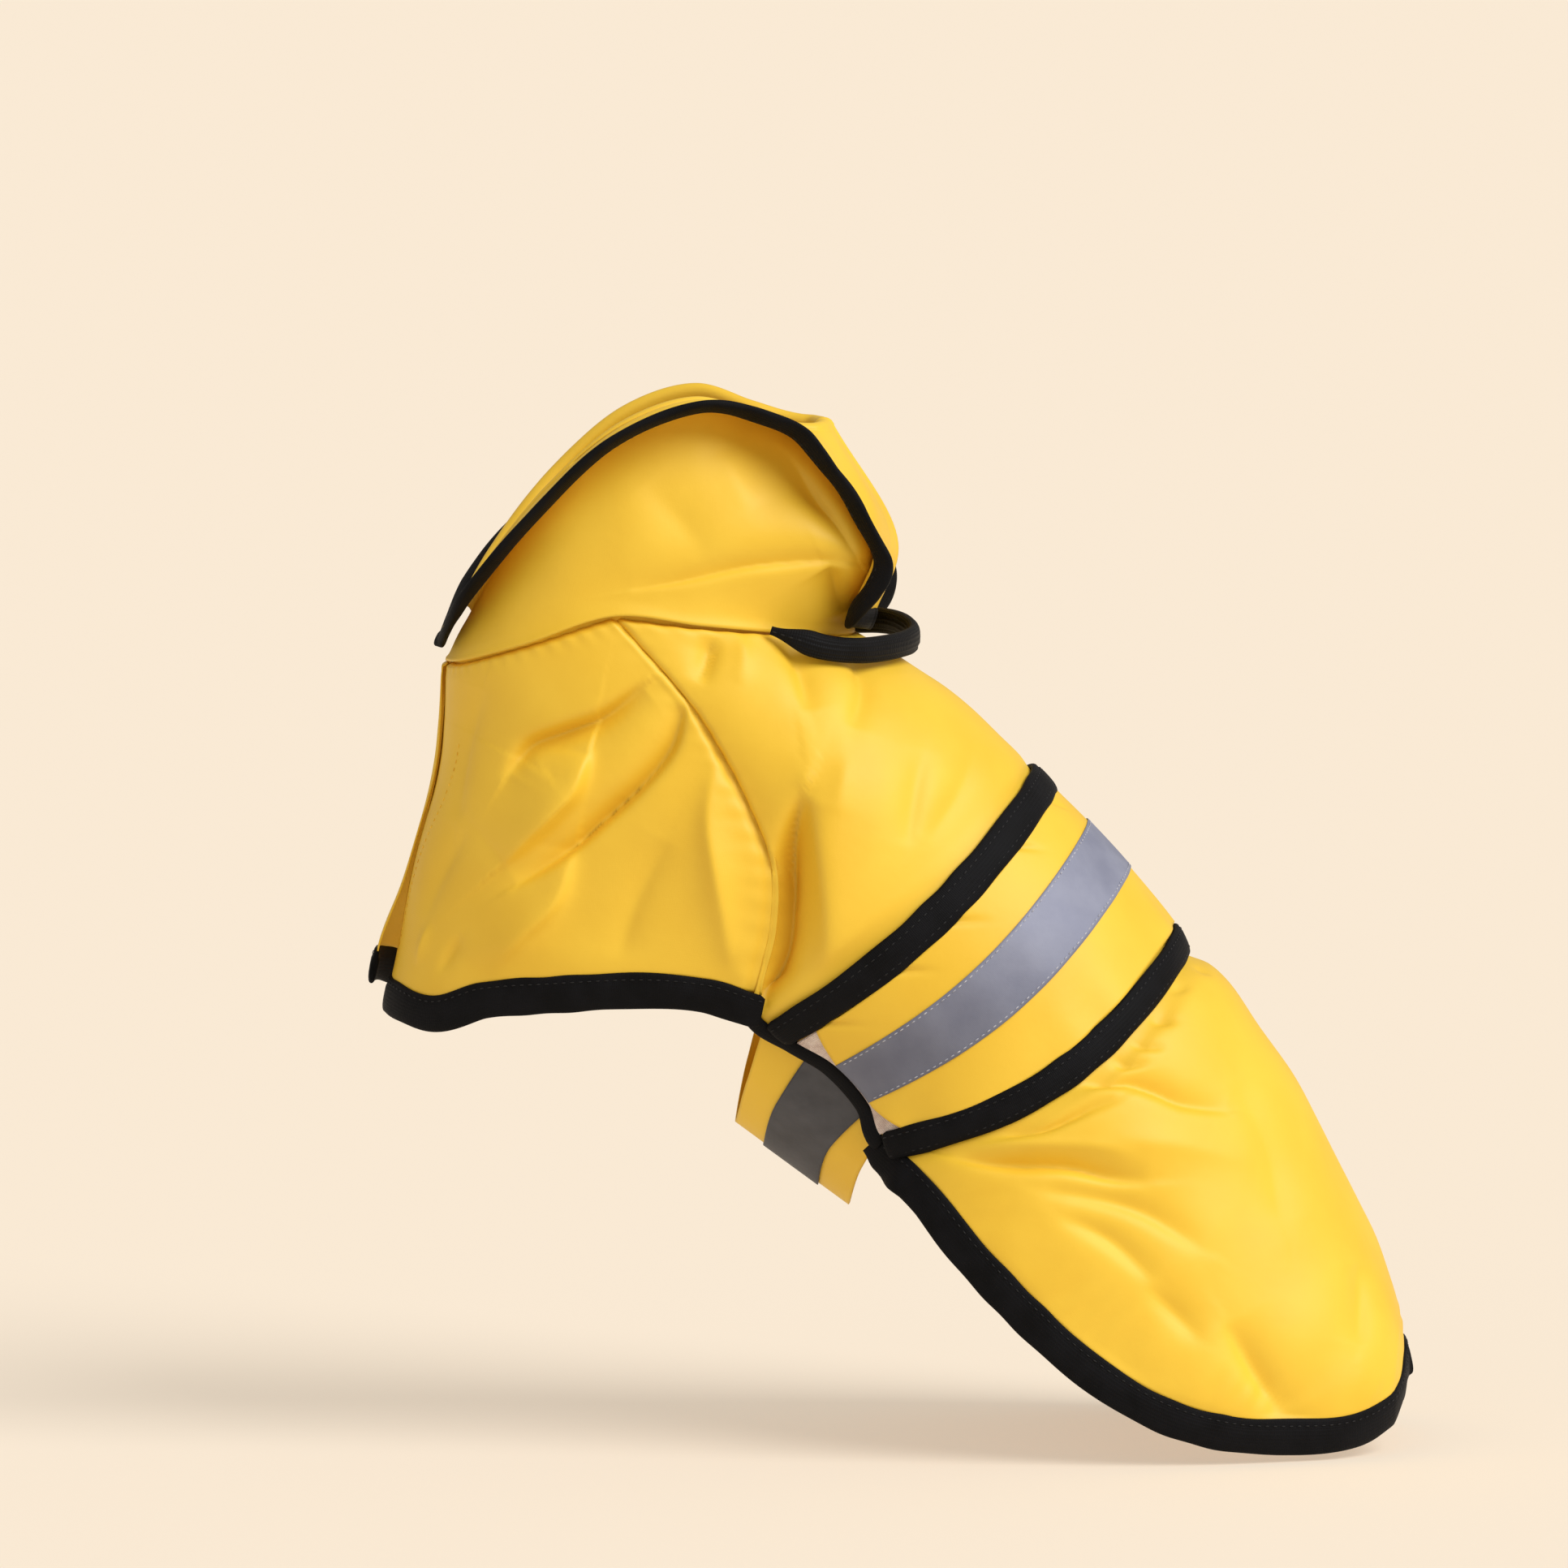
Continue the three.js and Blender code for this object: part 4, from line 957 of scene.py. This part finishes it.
def neck_point(share):
    """A point on the neck seam, from the throat at share 0 to the nape at 1."""
    if share < THROAT_SHARE:
        surface, t = chest[-1], 1 - share / THROAT_SHARE
    else:
        surface, t = back, -1 + (share - THROAT_SHARE) / (1 - THROAT_SHARE)
    at = np.zeros(1), np.array([t])
    inwards = unit(surface.normal(*at)[0] * (1, 1, 0)) * (HOOD_CLOTH / 2 + 0.1)
    return surface.point(*at)[0] - inwards + (0, 0, 0.4)


def hood_profile(row):
    """Neck seam, funnel, turned rim and flap, in one line of points."""
    share, mid, rim, hang, free, faces = row
    neck = neck_point(share)
    if mid[1] > -1:
        neck[1] = mid[1]
    angle = math.radians(faces)
    out = np.array([math.cos(angle), -math.sin(angle), 0])
    turn = np.linspace(0, np.pi, TURN_STEPS + 1)[:, None]
    over, up = out * FOLD_RADIUS * (1 - np.cos(turn)), np.array([0, 0, FOLD_RADIUS]) * np.sin(turn)
    turned = raised(rim) + over + up
    funnel = curve([neck, raised(mid), turned[0]], FUNNEL_STEPS + 1)
    flap = curve([turned[-1], raised(hang), raised(free)], FLAP_STEPS + 1)
    return np.concatenate([funnel, turned[1:-1], flap])


profiles = np.array([hood_profile(row) for row in HOOD_ROWS])
hood = np.stack([curve(profiles[:, j], ROUND_STEPS) for j in range(profiles.shape[1])], axis=1)
hood[[0, -1], :, 1] = 0


def grid_normals(grid):
    """Outward normals of the hood's grid, kept in the middle plane where its halves meet."""
    normals = unit(np.cross(np.gradient(grid, axis=0), np.gradient(grid, axis=1)))
    normals[[0, -1], :, 1] = 0
    return unit(normals)


hood_normals = grid_normals(hood)
print("hood grid:", hood.shape)

# %% [markdown]
# A tight crease runs back from the neck under the rolled cloth, the border above the neck seam
# stands out, and the turned-over flap lifts off the funnel, so that its edge throws the deep
# orange shadow that makes the hood read as two layers.

# %% The hood's folds
HOOD_FOLDS = [
    (((-104, 30.5), (-84, 33.6), (-61, 38.4), (-41, 39.9), (-20, 39.3)), (9, 1.2), -3.4),
    (((-33, 38), (-29, 30), (-27, 22)), (5, 10), -5),
    (((-60, 88), (-47, 80), (-37, 68), (-27, 54), (-21, 42)), (2.5, 9), -4.6),
    (((-100, 70), (-84, 52), (-78, 42)), (10, 10), -1.6),
    (((-72, 82), (-62, 60)), (9, 9), 1.4),
]
FLAP_LIFT, FLAP_WAVE = 4.2, 0.45
BORDER_FLARE, BORDER_HEIGHT = 2.6, 4.2
MIDDLE_DEPTH, MIDDLE_WIDTH = 0.9, 1.3
HOOD_INSET = 0.9
FUNNEL_END = FUNNEL_STEPS + TURN_STEPS // 2
steps_up = np.arange(hood.shape[1])
height = np.array([lengths_of(profile) for profile in hood])
on_funnel = smooth(FUNNEL_END - steps_up, 6, 26)[None, :]
folds = folded(HOOD_FOLDS, hood) * on_funnel * smooth(height, 1, 6)
border = BORDER_FLARE * np.exp(-height / BORDER_HEIGHT)
middle_seam = -MIDDLE_DEPTH * bell(hood[..., 1], MIDDLE_WIDTH)
round_share = np.linspace(0, 1, ROUND_STEPS)[:, None]
side_only = smooth(round_share, 0.3, 0.5) * smooth(0.995 - round_share, 0.0, 0.12)
flap_share = np.clip((steps_up - FUNNEL_END) / FLAP_STEPS, 0, 1)[None, :]
flap_wave = FLAP_WAVE * flap_share * np.sin(round_share * 41 + 0.8)
flap = (FLAP_LIFT * flap_share**1.4 + flap_wave) * side_only
plain_hood = hood + hood_normals * (folds + border + middle_seam - HOOD_INSET)[..., None]
hood = plain_hood + hood_normals * flap[..., None]
hood_normals = grid_normals(hood)
print("hood folds, deepest:", folds.min().round(1), "mm")


# %% The hood's two panels
MIRROR = np.array([1, -1, 1])
FAR_DROOP = np.array([-1.5, 1, -12.5])
ALLOWANCE = ((-4.4, -6.5), (-4.4, -4.5), (-4.3, -2.4), (-3.6, -0.3), (-1.6, 0.1))
droop = flap_share * smooth(round_share, 0.1, 0.25) * smooth(0.93 - round_share, 0, 0.2)
near_nape = smooth(round_share, 0.9, 0.985)[..., None]
far_hood = (plain_hood * (1 - near_nape) + hood * near_nape) * MIRROR + droop[..., None] * FAR_DROOP
halves = {-1: hood, 1: far_hood}
half_normals = {-1: hood_normals, 1: grid_normals(far_hood * MIRROR) * MIRROR}


def with_allowance(half, normals):
    """The cloth goes on inside the neck seam and down, as the seam's allowance."""
    out = unit(normals[:, 0] * (1, 1, 0))
    under = [half[:, 0] + out * inwards + (0, 0, drop) for inwards, drop in ALLOWANCE]
    return np.concatenate([np.stack(under, axis=1), half], axis=1)


def hood_panel(name, side, node):
    """One half of the hood, from its seam allowance to its free edge."""
    half = with_allowance(halves[side], half_normals[side])
    normals = grid_normals(half) if side < 0 else grid_normals(half * MIRROR) * MIRROR
    rounds, ups = half.shape[:2]
    mesh, i, j = flat_grid(rounds, ups)
    run, climb = lengths_of(half[:, ups // 3]), lengths_of(half[rounds // 2])
    laid = half[i, j] + normals[i, j] * 0.3
    place(mesh, laid, np.stack([run[i], climb[j]], axis=-1))
    face_outwards(mesh, normals[i, j])
    piece = to_object(mesh, name, yellow, node)
    thicken(piece, 0.6)
    print(name, "reaches", round(climb[-1]), "mm from neck to free edge")
    return piece


hood_left = hood_panel("hood_left_cloth", -1, "hood_left")
hood_right = hood_panel("hood_right_cloth", 1, "hood_right")


# %% The hood's bound edge
FACES_SIDEWAYS = 0.9


def round_the_hood(grids, step):
    """One line of both halves, from throat to throat."""
    return np.concatenate([grids[-1][:, step], grids[1][-2::-1, step]])


free_edge = round_the_hood(halves, -1)
sideways = np.array([0, 1, 0]) * (free_edge[:, 1:2] / 30).clip(-1, 1) * FACES_SIDEWAYS
trim = edge_frames(free_edge, unit(round_the_hood(half_normals, -1) + sideways),
                   round_the_hood(halves, -3))
rolled("hood_edge", trim, (8.6, 3.2), (3.2, 0.2), black, "hood_trim", around=16,
       puff=0.08)

# %% [markdown]
# ## The lead loop
#
# A strip of webbing is folded lengthwise and sewn into both ends of the neck seam at the nape,
# where a lead clips on. It is a flattened tube along a smooth curve, with a stitched groove, and
# its ends run out thin where they go under the hood's border.

# %% The loop
LOOP_ROUTE = [(-54, -47.6, 20.2), (-44, -48.5, 17), (-35, -46.5, 14), (-23, -39, 12),
              (-9, -22, 12), (-1.2, 0, 13.5), (-6, 18, 16.5), (-14, 32, 17), (-28, 44, 16),
              (-44, 48.5, 17), (-54, 47.6, 20.2)]
LOOP_MIDDLE = (-30, 0, 14)
route = curve(LOOP_ROUTE, 260)
tangent = unit(np.gradient(route, axis=0))
sideways = unit(np.cross(tangent, np.array([0.0, 0.0, 1.0])))
sideways = sideways * np.sign(np.sum(sideways * (route - LOOP_MIDDLE), axis=1, keepdims=True))
loop_frames = route, sideways, unit(np.cross(sideways, tangent))
rolled("loop_webbing", loop_frames, (9.6, 4.8), (0.0, 0.0), webbing, "lead_loop",
       around=20, puff=0.03, taper=(16, 0.35))

# %% [markdown]
# ## Stitching
#
# Every seam is sewn with a lock stitch, about three to the centimetre where it shows. A stitch is
# a short thread sunk at both ends, so each one is a small squashed ball laid along the seam. They
# are few-sided, because there are well over a thousand of them.


# %% A row of stitches
def stitch_row(name, points, normals, material, slot, pitch=2.7, size=(1.7, 0.5, 0.34)):
    """Stitches along a line, from end to end, lying on it and facing as it does."""
    lengths = lengths_of(points)
    at = np.arange(pitch / 2, lengths[-1], pitch)
    place_at, facing, way = (np.stack([np.interp(at, lengths, line[:, k]) for k in range(3)], axis=1)
                             for line in (points, normals, unit(np.gradient(points, axis=0))))
    mesh = bmesh.new()
    for centre, up, along in zip(place_at * MM, unit(facing), unit(way)):
        up = unit(up - along * np.dot(up, along))
        turn = Matrix((along, np.cross(up, along), up)).transposed().to_4x4()
        stretch = Matrix.Diagonal((size[0] * MM / 2, size[1] * MM / 2, size[2] * MM / 2, 1))
        bmesh.ops.create_uvsphere(mesh, u_segments=6, v_segments=4, radius=1,
                                  matrix=Matrix.Translation(centre) @ turn @ stretch)
    bmesh.ops.recalc_face_normals(mesh, faces=mesh.faces)
    print(name, len(at), "stitches")
    return to_object(mesh, name, material)


def on_surface(surface, s, t, lift):
    """Points and normals for a row of stitches on a surface."""
    normals = surface.normal(s, t)
    return surface.point(s, t) + normals * np.broadcast_to(lift, s.shape)[:, None], normals


# %% Stitches along the tape and the belt's bindings
TAPE_INSET, TAPE_TOP = 1.1, 2.78
BAND_OFFSET, BAND_TOP = 3.6, 3.35
BLACK_PITCH = 3.2
t = np.linspace(-0.972, 0.972, 500)
for name, row, step in (("front", "tape start", TAPE_INSET), ("rear", "tape end", -TAPE_INSET)):
    s = np.full(t.shape, STATION[row] + step)
    stitch_row("tape_stitches_" + name, *on_surface(back, s, t, TAPE_TOP), grey_thread,
               "reflective_tape")
for name, (points, normals, past) in bands.items():
    for letter, out in (("a", -1), ("b", 1)):
        line = points + normals * BAND_TOP + past * out * BAND_OFFSET
        stitch_row(f"{name}_stitches_{letter}", line, normals, black_thread, "black_binding",
                   pitch=BLACK_PITCH)

# %% Stitches along the hems, the hood's edge and the loop
ON_HEM, ON_HOOD, ON_LOOP = (1.4, 1.35), (0.8, 1.5), (0.0, 2.1)
SEWN = (("chest_hem_left", hems[-1], ON_HEM), ("chest_hem_right", hems[1], ON_HEM),
        ("skirt_hem", skirt, ON_HEM), ("hood_edge", trim, ON_HOOD),
        ("loop_webbing", loop_frames, ON_LOOP))
for name, (points, normals, past), (out, up) in SEWN:
    stitch_row(name + "_stitches", points + normals * up + past * out, normals, black_thread,
               "black_binding", pitch=BLACK_PITCH)

# %% The chest's curved stitch line
CHEST_LINE = ((0.735, 44), (0.752, 57), (0.792, 72), (0.845, 84), (0.885, 95), (0.93, 112))
for side, name in SIDES:
    t, s = curve(CHEST_LINE, 120).T
    t = t if side < 0 else 2 - t
    stitch_row("chest_stitches_" + name, *on_surface(chest[side], s, t, 0.1), yellow_thread,
               "yellow_cloth", pitch=3.0)

# %% [markdown]
# ## What each piece was cut to
#
# The cut of every piece of cloth, in metres, as it lay flat on the cutting table. The lines at the
# end print it beside the area that the piece has now.

# %% The flat cuts
CUTS = [
    (back_cloth, (0.34, 0.35), 0.106, "draped"),
    (chest_left, (0.15, 0.135), 0.0182, "draped"),
    (chest_right, (0.15, 0.135), 0.0182, "draped"),
    (hood_left, (0.25, 0.13), 0.0205, "folded"),
    (hood_right, (0.25, 0.13), 0.0205, "folded"),
    (belt_cloth, (0.056, 0.32), None, "draped"),
    (belt_tape, (0.025, 0.32), None, "draped"),
    (patches[0], (0.012, 0.055), None, "laid"),
    (patches[1], (0.012, 0.055), None, "laid"),
    (strap_cloth, (0.055, 0.185), None, "stretched"),
    (strap_tape, (0.026, 0.185), None, "stretched"),
]


def area_of(piece):
    """Area of the laid surface, in square metres, before Solidify gives it a second side."""
    return sum(face.area for face in piece.data.polygons)


for piece, cut, area, held in CUTS:
    print(piece.name, "cut", area or round(cut[0] * cut[1], 5), "now", round(area_of(piece), 5))
